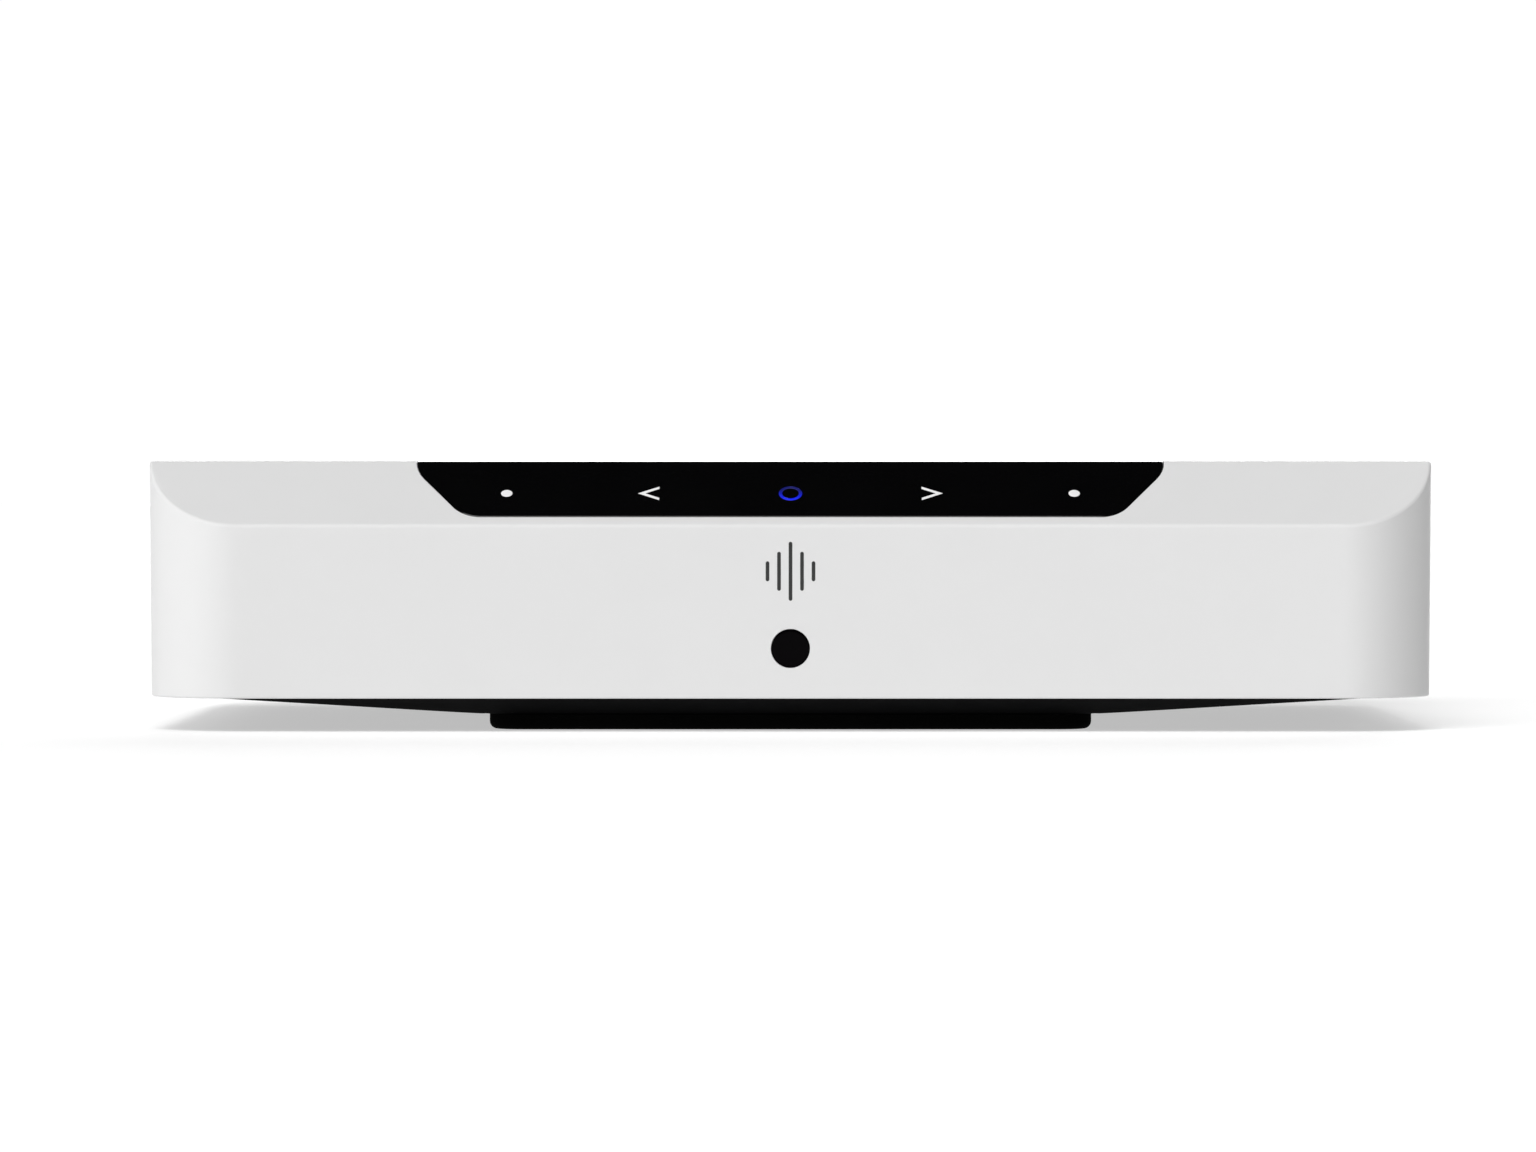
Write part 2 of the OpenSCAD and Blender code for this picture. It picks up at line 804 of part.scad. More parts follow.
module inlet_pins() {
    color("gold") for (side = [-1, 1])
        rod_y(inlet_x + side * inlet_pin_gap / 2, inlet_z, inlet_pin_r,
              inlet_front - inlet_depth - 1.5, inlet_front - 1.5);
}

module network_socket() {
    x0 = network_x - network_size[0] / 2;
    y0 = network_front - network_size[1];
    color("silver") difference() {
        slab([x0, y0, deck_z], [x0 + network_size[0], network_front, deck_z + network_size[2]]);
        network_slot(network_mouth[0], network_mouth_z, network_mouth_z + network_mouth[1]);
        network_slot(6.2, network_mouth_z - 1.8, network_mouth_z + eps);
        network_slot(3.4, network_mouth_z - 3.2, network_mouth_z);
    }
}

// One step of the network mouth: its width, and its bottom and top heights
module network_slot(width, bottom, top) {
    slab([network_x - width / 2, network_front - network_cavity, bottom],
         [network_x + width / 2, network_front + eps, top]);
}

module network_contacts() {
    top = network_mouth_z + network_mouth[1];
    pitch = 1.02;
    width = 0.36;
    lean = 14;
    color("gold") for (i = [0:7])
        translate([network_x + (i - 3.5) * pitch, network_front - 11, top - 0.1]) rotate([-lean, 0, 0])
            translate([-width / 2, 0, -0.35]) cube([width, 6.5, 0.25]);
}

module usb_socket() {
    x0 = usb_x - usb_size[0] / 2;
    y0 = usb_front - usb_size[1];
    base_t = 4;
    color("silver") difference() {
        slab([x0, y0, usb_z], [x0 + usb_size[0], usb_front, usb_z + usb_size[2]]);
        slab([x0 + usb_wall, y0 + base_t, usb_z + usb_wall],
             [x0 + usb_size[0] - usb_wall, usb_front + eps, usb_z + usb_size[2] - usb_wall]);
        usb_bar(y0 - eps, y0 + base_t + eps, 0.05);
    }
}

module usb_tongue() {
    color("white") usb_bar(usb_front - usb_size[1], usb_front - 1.2, 0);
}

// Tongue of the USB socket from y0 to y1, grown by grow
module usb_bar(y0, y1, grow) {
    half = usb_tongue_w / 2 + grow;
    bottom = usb_z + 2.65 - grow;
    slab([usb_x - half, y0, bottom], [usb_x + half, y1, bottom + usb_tongue_t + 2 * grow]);
}

// Rod along X through the middle of the optical socket
module optical_axle(r, length) {
    rod_x(optical_x - length / 2, optical_x + length / 2, shutter_y, shutter_z, r);
}

module optical_socket() {
    x0 = optical_x - optical_size[0] / 2;
    y0 = optical_front - optical_size[1];
    half = optical_mouth[0] / 2;
    color("dimgray") difference() {
        slab([x0, y0, deck_z], [x0 + optical_size[0], optical_front, deck_z + optical_size[2]]);
        slab([optical_x - half, optical_front - optical_mouth[1], optical_mouth_z],
             [optical_x + half, optical_front + eps, optical_mouth_z + optical_mouth[2]]);
        optical_axle(shutter_pin_r + shutter_pin_gap, optical_mouth[0] + 2.2);
        rod_y(optical_x, optical_axis_z, emitter_r + 0.05, y0 + 1, optical_front - optical_mouth[1] + eps);
    }
}

module optical_emitter() {
    back = optical_front - optical_mouth[1];
    color("firebrick") rod_y(optical_x, optical_axis_z, emitter_r, back - 4.5, back + 1);
}

module optical_shutter() {
    flap_w = optical_mouth[0] - 0.6;
    mark_half = 2;
    color("black") {
        difference() {
            slab([optical_x - flap_w / 2, shutter_y - shutter_t / 2, optical_mouth_z + 0.35],
                 [optical_x + flap_w / 2, shutter_y + shutter_t / 2, shutter_z]);
            slab([optical_x - mark_half, shutter_y + 0.15, optical_mouth_z + 1.2],
                 [optical_x + mark_half, shutter_y + eps, optical_mouth_z + 2.2]);
        }
        optical_axle(0.72, flap_w);
        optical_axle(shutter_pin_r, flap_w + 2.4);
    }
}

module reset_switch() {
    face = reset_flange_y - 2.6 - reset_travel;
    half = 3;
    color("dimgray") {
        slab([reset_x - half, face - 4, deck_z], [reset_x + half, face, deck_z + 7]);
        rod_y(reset_x, reset_z, 1, face, face + 0.4);
    }
}

module reset_button() {
    flange_back = reset_flange_y - 1;
    color("dimgray") {
        rod_y(reset_x, reset_z, reset_r, flange_back, rear_face + 0.6);
        rod_y(reset_x, reset_z, 2.3, flange_back, reset_flange_y);
        rod_y(reset_x, reset_z, 1, flange_back - 0.9, flange_back);
    }
}

// Black plastic block that carries two round jacks
module jack_block(x_a, x_b) {
    mid = (x_a + x_b) / 2;
    width = abs(x_b - x_a) + block_w;
    color("black") difference() {
        slab([mid - width / 2, rear_inner - block_d, deck_z],
             [mid + width / 2, rear_inner, deck_z + block_h]);
        for (x = [x_a, x_b]) {
            rod_y(x, jack_z, jack_d / 2, rear_inner - collar_seat, rear_inner + eps);
            rod_y(x, jack_z, contact_r + contact_wall + 0.05, rear_inner - contact_seat, rear_inner + eps);
        }
        rod_y(mid, panel_screw_z, screw_r + 0.05, rear_inner - 7, rear_inner + eps);
    }
}

module jack_collar(x) {
    inner_r = jack_d / 2 - jack_wall;
    color("gold") difference() {
        union() {
            rod_y(x, jack_z, jack_d / 2, rear_inner - collar_seat, jack_tip);
            rod_y(x, jack_z, jack_flange_r, rear_face, rear_face + jack_flange_t);
        }
        rod_y(x, jack_z, inner_r, rear_inner - collar_seat - eps, jack_tip + eps);
    }
}

module jack_insulator(x, tint) {
    gap = 0.03;
    color(tint) difference() {
        rod_y(x, jack_z, jack_d / 2 - jack_wall - gap, rear_inner - collar_seat, jack_tip - 0.8);
        rod_y(x, jack_z, contact_r + contact_wall + gap, rear_inner - collar_seat - eps, jack_tip);
    }
}

module jack_contacts() {
    color("gold") for (x = [digital_x, sub_x, left_x, right_x]) difference() {
        rod_y(x, jack_z, contact_r + contact_wall, rear_inner - contact_seat + 1, jack_tip - 1.6);
        rod_y(x, jack_z, contact_r, rear_inner - contact_seat + 3, jack_tip);
    }
}

// Small stereo socket with a round nose through the panel
module mini_jack(x) {
    half = 3.6;
    front = rear_face + 0.8;
    color("black") difference() {
        union() {
            slab([x - half, rear_inner - mini_depth, deck_z], [x + half, rear_inner, mini_z + 3.8]);
            rod_y(x, mini_z, mini_nose_r, rear_inner, front);
        }
        rod_y(x, mini_z, mini_bore_d / 2, front - mini_depth, front + eps);
    }
}

top_shell();
bottom_cover();
rubber_foot();
rear_panel();
casing_screws();
panel_screws();
touch_panel();
panel_tape();
touch_dots();
touch_arrows();
status_ring();
light_guide();
touch_board();
touch_ribbon();
ir_window();
ir_receiver();
main_board();
board_screws();
processor_can();
thermal_pad();
heat_spreader();
audio_can();
board_capacitors();
wireless_module();
antennas();
antenna_cables();
power_board();
power_transformer();
power_capacitor();
power_heatsink();
mains_fuse();
insulation_sheet();
power_harness();
mains_inlet();
inlet_pins();
network_socket();
network_contacts();
usb_socket();
usb_tongue();
optical_socket();
optical_emitter();
optical_shutter();
reset_switch();
reset_button();
jack_block(digital_x, sub_x);  // digital_jack_block
jack_block(left_x, right_x);  // analog_jack_block
jack_collar(digital_x);  // digital_jack_collar
jack_collar(sub_x);  // sub_jack_collar
jack_collar(left_x);  // left_jack_collar
jack_collar(right_x);  // right_jack_collar
jack_insulator(digital_x, "orange");  // digital_jack_insulator
jack_insulator(sub_x, "rebeccapurple");  // sub_jack_insulator
jack_insulator(left_x, "white");  // left_jack_insulator
jack_insulator(right_x, "red");  // right_jack_insulator
jack_contacts();
mini_jack(audio_mini_x);  // audio_mini_jack
mini_jack(trigger_mini_x);  // trigger_mini_jack
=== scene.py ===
"""Looks of a low desktop streaming player: white casing, black touch panel on the front slope,
black underside on a rubber foot, and a row of sockets behind. Metres, X across, front towards -Y."""
import json
import math

import bmesh
import bpy
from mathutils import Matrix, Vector
from mathutils.geometry import delaunay_2d_cdt


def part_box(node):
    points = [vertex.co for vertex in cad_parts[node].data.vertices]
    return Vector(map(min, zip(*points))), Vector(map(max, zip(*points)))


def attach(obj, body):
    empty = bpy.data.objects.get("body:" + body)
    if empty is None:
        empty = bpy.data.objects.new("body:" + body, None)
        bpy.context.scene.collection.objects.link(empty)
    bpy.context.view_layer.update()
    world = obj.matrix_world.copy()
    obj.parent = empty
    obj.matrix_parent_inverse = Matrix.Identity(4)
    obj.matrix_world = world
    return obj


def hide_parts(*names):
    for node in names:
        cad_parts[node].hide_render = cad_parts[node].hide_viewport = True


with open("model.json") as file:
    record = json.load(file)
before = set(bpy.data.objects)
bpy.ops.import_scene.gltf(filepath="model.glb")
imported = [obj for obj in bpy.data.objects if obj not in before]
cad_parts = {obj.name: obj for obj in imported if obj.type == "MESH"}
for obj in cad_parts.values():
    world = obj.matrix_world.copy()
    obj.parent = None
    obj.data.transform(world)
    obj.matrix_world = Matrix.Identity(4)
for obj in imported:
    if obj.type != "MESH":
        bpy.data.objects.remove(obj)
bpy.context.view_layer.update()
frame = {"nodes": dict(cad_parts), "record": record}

MM = 0.001
CASING = "casing"

# ---------------------------------------------------------------- sizes shared with the frame
SHELL_LOW, SHELL_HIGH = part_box("top_shell")
FRONT_Y, REAR_Y = SHELL_LOW.y, SHELL_HIGH.y
HALF_W = SHELL_HIGH.x
RIM_Z, TOP_Z = SHELL_LOW.z, SHELL_HIGH.z
CREASE_Z = 35 * MM
SLOPE_D = 15 * MM
SLOPE_Y = FRONT_Y + SLOPE_D
SLOPE_A = math.atan2(TOP_Z - CREASE_Z, SLOPE_D)
CORNER_F = 16 * MM
CORNER_R = 10 * MM
CORNER_STEPS = 56
WALL = 2.4 * MM
DRAFT = 0.35 * MM
PANEL_INNER, PANEL_FACE = (corner.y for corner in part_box("rear_panel"))

X, Y, Z = Vector((1, 0, 0)), Vector((0, 1, 0)), Vector((0, 0, 1))


# ---------------------------------------------------------------- outlines, as lists of (u, v)
def in_mm(points):
    """Points given in millimetres."""
    return [(u * MM, v * MM) for u, v in points]


def unit(x, y):
    size = math.hypot(x, y)
    return x / size, y / size


def grow_corners(corners, grow):
    """A convex or concave outline, drawn anticlockwise, with every side moved outwards by grow."""
    moved = []
    count = len(corners)
    for i in range(count):
        a, b, c = corners[i - 1], corners[i], corners[(i + 1) % count]
        ax, ay = unit(b[0] - a[0], b[1] - a[1])
        cx, cy = unit(c[0] - b[0], c[1] - b[1])
        nx, ny = ay + cy, -ax - cx
        scale = grow * 2 / (nx * nx + ny * ny)
        moved.append((b[0] + nx * scale, b[1] + ny * scale))
    return moved


def rounded(corners, radii, grow=0.0, steps=6):
    """Outline with each corner turned into an arc of steps + 1 points; grow moves it outwards."""
    points = []
    moved = grow_corners(corners, grow)
    count = len(moved)
    for i in range(count):
        a, b, c = moved[i - 1], moved[i], moved[(i + 1) % count]
        to_a, to_c = unit(a[0] - b[0], a[1] - b[1]), unit(c[0] - b[0], c[1] - b[1])
        turn = to_a[0] * to_c[1] - to_a[1] * to_c[0]
        radius = max(radii[i] + (grow if turn < 0 else -grow), 1e-6)
        half = math.acos(max(-1, min(1, to_a[0] * to_c[0] + to_a[1] * to_c[1]))) / 2
        mid = unit(to_a[0] + to_c[0], to_a[1] + to_c[1])
        centre = (b[0] + mid[0] * radius / math.sin(half), b[1] + mid[1] * radius / math.sin(half))
        start = (b[0] + to_a[0] * radius / math.tan(half) - centre[0],
                 b[1] + to_a[1] * radius / math.tan(half) - centre[1])
        sweep = (math.pi - 2 * half) * (1 if turn < 0 else -1)
        for k in range(steps + 1):
            t = sweep * k / steps
            points.append((centre[0] + start[0] * math.cos(t) - start[1] * math.sin(t),
                           centre[1] + start[0] * math.sin(t) + start[1] * math.cos(t)))
    return points


def rectangle(u, v, w, h, r, steps=6):
    """Returns a function of grow that draws a rounded rectangle about (u, v)."""
    corners = [(u - w / 2, v - h / 2), (u + w / 2, v - h / 2), (u + w / 2, v + h / 2), (u - w / 2, v + h / 2)]
    return lambda grow=0.0: rounded(corners, [r] * 4, grow, steps)


def circle(u, v, r, steps=48):
    """Returns a function of grow that draws a circle about (u, v)."""
    return lambda grow=0.0: [(u + (r + grow) * math.cos(2 * math.pi * k / steps),
                              v + (r + grow) * math.sin(2 * math.pi * k / steps)) for k in range(steps)]


def polygon(corners, radii, steps=6):
    """Returns a function of grow; radii is one radius, or one for each corner."""
    radii = radii if hasattr(radii, "__len__") else [radii] * len(corners)
    return lambda grow=0.0: rounded(corners, radii, grow, steps)


# ---------------------------------------------------------------- mesh building
class Maker:
    """Collects points and faces of one piece."""

    def __init__(self):
        self.points = []
        self.faces = []

    def ring(self, points):
        """Adds a ring of points and returns their numbers."""
        first = len(self.points)
        self.points.extend(Vector(p) for p in points)
        return list(range(first, len(self.points)))

    def bridge(self, a, b, closed=True, skip=()):
        """Quads between two rings with the same number of points."""
        count = len(a)
        for i in range(count if closed else count - 1):
            if i in skip:
                continue
            j = (i + 1) % count
            self.faces.append((a[i], a[j], b[j], b[i]))

    def stack(self, rings, skip=()):
        for a, b in zip(rings, rings[1:]):
            self.bridge(a, b, skip=skip)

    def outlines(self, loops, flat):
        """The (u, v) outline of each ring."""
        return [[tuple(flat(self.points[i])) for i in loop] for loop in loops]

    def cap(self, loops, flat, lift=None, guides=()):
        """Fills the area inside the first loop and outside the others.

        loops are rings of this piece, flat turns a point into (u, v), and lift gives the point
        for a new (u, v). guides are (u, v) lines that the fill keeps. build turns the faces.
        """
        ids = [i for loop in loops for i in loop]
        places = [Vector(flat(self.points[i])) for i in ids]
        edges = []
        start = 0
        for loop in loops:
            edges += [(start + k, start + (k + 1) % len(loop)) for k in range(len(loop))]
            start += len(loop)
        for guide in guides:
            first = len(places)
            places += [Vector(p) for p in guide]
            edges += [(k, k + 1) for k in range(first, len(places) - 1)]
        scale = 1 / MM
        new_points, _, new_faces, origins, _, _ = delaunay_2d_cdt(
            [p * scale for p in places], edges, [], 1, 1e-5, True)
        names = []
        for place, origin in zip(new_points, origins):
            known = [k for k in origin if k < len(ids)]
            if known:
                names.append(ids[known[0]])
            else:
                names.append(len(self.points))
                self.points.append(Vector(lift(place.x / scale, place.y / scale)))
        outlines = self.outlines(loops, flat)
        for face in new_faces:
            u = sum(new_points[k].x for k in face) / len(face) / scale
            v = sum(new_points[k].y for k in face) / len(face) / scale
            if sum(inside(u, v, outline) for outline in outlines) == 1:
                self.faces.append(tuple(names[k] for k in face))

    def build(self, name, sharp=35.0, closed=True):
        """Makes the object; edges that bend by more than sharp degrees stay sharp."""
        mesh = bpy.data.meshes.new(name)
        mesh.from_pydata([tuple(p) for p in self.points], [], self.faces)
        mesh.validate()
        if closed:
            turn_outwards(mesh)
        mesh.polygons.foreach_set("use_smooth", [True] * len(mesh.polygons))
        mesh.set_sharp_from_angle(angle=math.radians(sharp))
        obj = bpy.data.objects.new(name, mesh)
        bpy.context.scene.collection.objects.link(obj)
        soften(obj)
        return obj


def turn_outwards(mesh):
    """Makes every face of a closed mesh look outwards."""
    work = bmesh.new()
    work.from_mesh(mesh)
    bmesh.ops.recalc_face_normals(work, faces=work.faces)
    work.to_mesh(mesh)
    work.free()


def inside(u, v, outline):
    """Even-odd test of a point against an outline."""
    odd = False
    for (u0, v0), (u1, v1) in zip(outline, outline[1:] + outline[:1]):
        if (v0 > v) != (v1 > v) and u < (u1 - u0) * (v - v0) / (v1 - v0) + u0:
            odd = not odd
    return odd


def soften(obj):
    """Shading that keeps flat faces flat next to narrow rounded edges."""
    weighted = obj.modifiers.new("flat_faces", "WEIGHTED_NORMAL")
    weighted.keep_sharp = True
    weighted.weight = 50


def rows_inside(levels, loops, margin):
    """Lines at v = level, cut to the stretches inside the loops and kept a margin away from them."""
    lines = []
    for level in levels:
        cuts = []
        for loop in loops:
            for (u0, v0), (u1, v1) in zip(loop, loop[1:] + loop[:1]):
                if (v0 > level) != (v1 > level):
                    cuts.append((u1 - u0) * (level - v0) / (v1 - v0) + u0)
        cuts.sort()
        for a, b in zip(cuts[::2], cuts[1::2]):
            if b - a > 3 * margin:
                lines.append([(a + margin, level), (b - margin, level)])
    return lines


def seen_from_above(point):
    return point.x, point.y


class Place:
    """A local drawing plane: u and v in the plane, w out of it."""

    def __init__(self, origin, u, v):
        self.origin = Vector(origin)
        self.u = Vector(u).normalized()
        self.v = Vector(v).normalized()
        self.w = self.u.cross(self.v)

    def at(self, u, v, w=0.0):
        return self.origin + self.u * u + self.v * v + self.w * w

    def flat(self, point):
        offset = point - self.origin
        return offset.dot(self.u), offset.dot(self.v)

    def raised(self, w):
        return Place(self.at(0, 0, w), self.u, self.v)


def edge_steps(radius, steps=3):
    """(inset, drop) pairs round a quarter arc, from the face to the side."""
    if radius <= 0:
        return [(0.0, 0.0)]
    turns = [math.pi / 2 * k / steps for k in range(steps + 1)]
    return [(radius * (1 - math.sin(t)), radius * (1 - math.cos(t))) for t in turns]


class Pocket:
    """A hole in a carved piece. Depth None goes right through, and inner pockets start on its floor."""

    def __init__(self, outline, depth=None, inner=(), lip=0.1 * MM):
        self.outline, self.depth = outline, depth
        self.inner, self.lip = inner, lip


def sink(m, place, pockets, top, bottom, steps):
    """Adds the walls and floors of pockets. Returns their rims, and the ends of those right through."""
    rims, ends = [], []
    for pocket in pockets:
        lips = [m.ring([place.at(u, v, -top - drop) for u, v in pocket.outline(inset)])
                for inset, drop in edge_steps(pocket.lip, steps)]
        floor = bottom if pocket.depth is None else top + pocket.depth
        wall = m.ring([place.at(u, v, -floor) for u, v in pocket.outline(0.0)])
        m.stack(lips + [wall])
        rims.append(lips[0])
        if pocket.depth is None:
            ends.append(wall)
        else:
            inner_rims, inner_ends = sink(m, place, pocket.inner, floor, bottom, steps)
            m.cap([wall] + inner_rims, place.flat)
            ends += inner_ends
    return rims, ends


def carved(name, place, outline, depth, pockets=(), edge=0.2 * MM, back_edge=0.0, steps=3):
    """A block seen from its front face, with rounded edges and pockets cut into it."""
    m = Maker()
    front = [m.ring([place.at(u, v, -drop) for u, v in outline(-inset)])
             for inset, drop in edge_steps(edge, steps)]
    back = [m.ring([place.at(u, v, drop - depth) for u, v in outline(-inset)])
            for inset, drop in edge_steps(back_edge, steps)]
    m.stack(front + back[::-1])
    rims, ends = sink(m, place, pockets, 0.0, depth, steps)
    m.cap([front[0]] + rims, place.flat)
    m.cap([back[0]] + ends, place.flat)
    return m.build(name)


def lathe(name, place, profile, steps=48, centre=(0.0, 0.0), sweep=None):
    """A turned piece from a closed list of (radius, w); sweep gives the two angles of a part turn."""
    m = Maker()
    start, end = sweep or (0.0, 2 * math.pi)
    count = steps + 1 if sweep else steps
    turns = [start + (end - start) * k / steps for k in range(count)]
    rings = []
    for radius, w in profile:
        around = turns if radius > 1e-7 else [0.0]
        rings.append(m.ring([place.at(centre[0] + radius * math.cos(t), centre[1] + radius * math.sin(t), w)
                             for t in around]))
    pairs = list(zip(rings, rings[1:]))
    if len(rings[0]) > 1 and len(rings[-1]) > 1:
        pairs.append((rings[-1], rings[0]))
    for a, b in pairs:
        if len(a) == 1 or len(b) == 1:
            tip, ring = (a[0], b) if len(a) == 1 else (b[0], a)
            m.faces += [(tip, ring[k], ring[(k + 1) % count]) for k in range(count) if len(ring) > 1]
        else:
            m.bridge(a, b, closed=not sweep)
    if sweep:
        m.faces += [tuple(ring[0] for ring in rings), tuple(ring[-1] for ring in rings)]
    return m.build(name)


def join(name, pieces):
    """Several meshes as one piece."""
    bpy.ops.object.select_all(action="DESELECT")
    for piece in pieces:
        piece.select_set(True)
    bpy.context.view_layer.objects.active = pieces[0]
    bpy.ops.object.join()
    pieces[0].name = name
    pieces[0].data.name = name
    return pieces[0]


# ---------------------------------------------------------------- materials
class Shader:
    """A node material with a short way to add and link nodes."""

    def __init__(self, name):
        self.material = bpy.data.materials.new(name)
        self.material.use_nodes = True
        self.tree = self.material.node_tree
        self.main = self.tree.nodes["Principled BSDF"]
        self.place = self.add("ShaderNodeTexCoord").outputs["Object"]

    def add(self, kind, **inputs):
        node = self.tree.nodes.new(kind)
        for key, value in inputs.items():
            node.inputs[key.replace("_", " ")].default_value = value
        return node

    def set(self, socket, value):
        self.main.inputs[socket].default_value = value

    def link(self, out, node, socket):
        self.tree.links.new(out, node.inputs[socket])

    def noise(self, size, detail=2.0, rough=0.5, stretch=None):
        """Noise with features of about this size, in metres; stretch scales each axis."""
        node = self.add("ShaderNodeTexNoise", Scale=1.0 / size, Detail=detail, Roughness=rough)
        source = self.place
        if stretch:
            mapping = self.add("ShaderNodeMapping")
            mapping.inputs["Scale"].default_value = stretch
            self.link(source, mapping, "Vector")
            source = mapping.outputs["Vector"]
        self.link(source, node, "Vector")
        return node.outputs["Fac"]

    def spread(self, value, low, high):
        """Maps a 0 to 1 noise onto low to high."""
        node = self.add("ShaderNodeMapRange", From_Min=0.3, From_Max=0.7, To_Min=low, To_Max=high)
        self.link(value, node, "Value")
        return node.outputs["Result"]

    def gloss(self, value, low, high):
        """Roughness that varies between low and high."""
        self.link(self.spread(value, low, high), self.main, "Roughness")

    def mix(self, factor, dark, light):
        node = self.add("ShaderNodeMix")
        node.data_type = "RGBA"
        node.inputs["A"].default_value = (*dark, 1)
        node.inputs["B"].default_value = (*light, 1)
        self.link(factor, node, "Factor")
        return node.outputs["Result"]

    def tint(self, value, dark, light):
        """Base colour that varies between two shades."""
        self.link(self.mix(self.spread(value, 0.0, 1.0), dark, light), self.main, "Base Color")

    def bump(self, height, depth):
        node = self.add("ShaderNodeBump", Strength=1.0, Distance=depth)
        self.link(height, node, "Height")
        self.link(node.outputs["Normal"], self.main, "Normal")


def shades(colour, amount):
    """Two near shades of a colour, for fine mottling."""
    return tuple(c * (1 - amount) for c in colour), tuple(min(1.0, c * (1 + amount)) for c in colour)


def plastic(name, colour, rough=0.4, grain=0.35, depth=0.004, mottle=0.02, specular=0.5, spread=0.05):
    """Moulded plastic or rubber: mottled colour, uneven gloss and a fine grain, sized in millimetres."""
    s = Shader(name)
    s.tint(s.noise(14 * MM, 3.0), *shades(colour, mottle))
    s.gloss(s.noise(5 * MM, 4.0), rough - spread, rough + spread)
    s.set("Specular IOR Level", specular)
    s.bump(s.noise(grain * MM, 2.0, 0.6), depth * MM)
    return s.material


def metal(name, colour, rough=0.25, stretch=(1, 1, 1), scratch=0.002):
    """Plated or bare metal: tarnish in the colour, and fine drawn lines in gloss and bump."""
    s = Shader(name)
    s.set("Metallic", 1.0)
    s.tint(s.noise(3 * MM, 4.0), *shades(colour, 0.05))
    s.gloss(s.noise(0.4 * MM, 3.0, 0.6, stretch), rough * 0.75, rough * 1.3)
    s.bump(s.noise(0.25 * MM, 2.0, 0.5, stretch), scratch * MM)
    return s.material


def emitter_material(name):
    """Red lens that also gives off a little light."""
    s = Shader(name)
    s.tint(s.noise(0.8 * MM, 2.0), *shades((0.45, 0.02, 0.02), 0.06))
    s.gloss(s.noise(0.5 * MM), 0.3, 0.4)
    s.set("Emission Color", (0.8, 0.01, 0.005, 1))
    s.set("Emission Strength", 0.4)
    return s.material


def board_material(name):
    """Green solder mask with faint tracks under it."""
    s = Shader(name)
    tracks = s.add("ShaderNodeTexBrick", Scale=180.0, Mortar_Size=0.012, Color1=(0.008, 0.10, 0.04, 1),
                   Color2=(0.010, 0.13, 0.05, 1), Mortar=(0.03, 0.22, 0.09, 1))
    s.link(s.place, tracks, "Vector")
    s.link(tracks.outputs["Color"], s.main, "Base Color")
    s.gloss(s.noise(2 * MM), 0.25, 0.4)
    s.bump(tracks.outputs["Fac"], 0.02 * MM)
    return s.material


def status_material(name):
    """Blue ring window, bright along its lower arc and dark along its upper arc."""
    s = Shader(name)
    low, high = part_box("status_ring")
    split = s.add("ShaderNodeSeparateXYZ")
    s.link(s.place, split, "Vector")
    climb = s.add("ShaderNodeMapRange", From_Min=low.z + 0.5 * MM, From_Max=high.z - 0.6 * MM)
    s.link(split.outputs["Z"], climb, "Value")
    shade = s.mix(climb.outputs["Result"], (0.0, 0.012, 1.0), (0.001, 0.001, 0.10))
    s.link(shade, s.main, "Emission Color")
    s.set("Emission Strength", 0.9)
    s.tint(s.noise(0.8 * MM, 2.0), (0.004, 0.006, 0.05), (0.005, 0.008, 0.06))
    s.gloss(s.noise(0.5 * MM), 0.3, 0.4)
    return s.material


def glass_material(name):
    """Clear glass of the fuse."""
    s = Shader(name)
    s.tint(s.noise(4 * MM), (0.80, 0.84, 0.84), (0.88, 0.90, 0.90))
    s.gloss(s.noise(3 * MM), 0.04, 0.1)
    s.set("Transmission Weight", 0.85)
    return s.material


# colour, roughness, size and depth of the grain in mm, mottling, specular level, spread of roughness
PLASTICS = {
    "white_shell": ((0.72, 0.72, 0.72), 0.5, 0.30, 0.0015, 0.006, 0.25),
    "black_shell": ((0.006, 0.006, 0.0065), 0.62, 0.45, 0.012, 0.12, 0.25),
    # painted shade: a darker, almost unreflective copy of black_shell, standing for the shade under the
    # casing
    "underside": ((0.0022, 0.0022, 0.0024), 0.75, 0.45, 0.012, 0.12, 0.02),
    "foot_rubber": ((0.002, 0.002, 0.002), 0.9, 0.30, 0.01, 0.15, 0.02),
    "black_steel": ((0.02, 0.02, 0.02), 0.35, 0.20, 0.003, 0.1),
    "panel_gloss": ((0.0018, 0.0018, 0.002), 0.09, 2, 0.0006, 0.1, 0.3, 0.02),
    "tape": ((0.25, 0.25, 0.26), 0.7),
    "light_window": ((0.88, 0.88, 0.88), 0.35, 0.2, 0.001, 0.02),
    "flat_cable": ((0.75, 0.42, 0.10), 0.35),
    "window_gloss": ((0.0012, 0.0008, 0.0012), 0.07, 2, 0.0006, 0.2, 0.03, 0.02),
    "thermal_rubber": ((0.35, 0.50, 0.62), 0.8),
    "wire_jacket": ((0.03, 0.03, 0.03), 0.45),
    "winding": ((0.75, 0.60, 0.08), 0.4, 1.0, 0.05, 0.08),
    "clear_film": ((0.78, 0.78, 0.76), 0.3),
    "socket_black": ((0.012, 0.012, 0.013), 0.5, 0.3, 0.006, 0.1),
    "tongue_white": ((0.83, 0.83, 0.81), 0.4),
    "button_grey": ((0.09, 0.09, 0.095), 0.5, 0.25, 0.006),
    "insulator_orange": ((0.80, 0.22, 0.02), 0.3),
    "insulator_purple": ((0.20, 0.05, 0.38), 0.3),
    "insulator_white": ((0.82, 0.82, 0.80), 0.3),
    "insulator_red": ((0.62, 0.02, 0.02), 0.3),
}
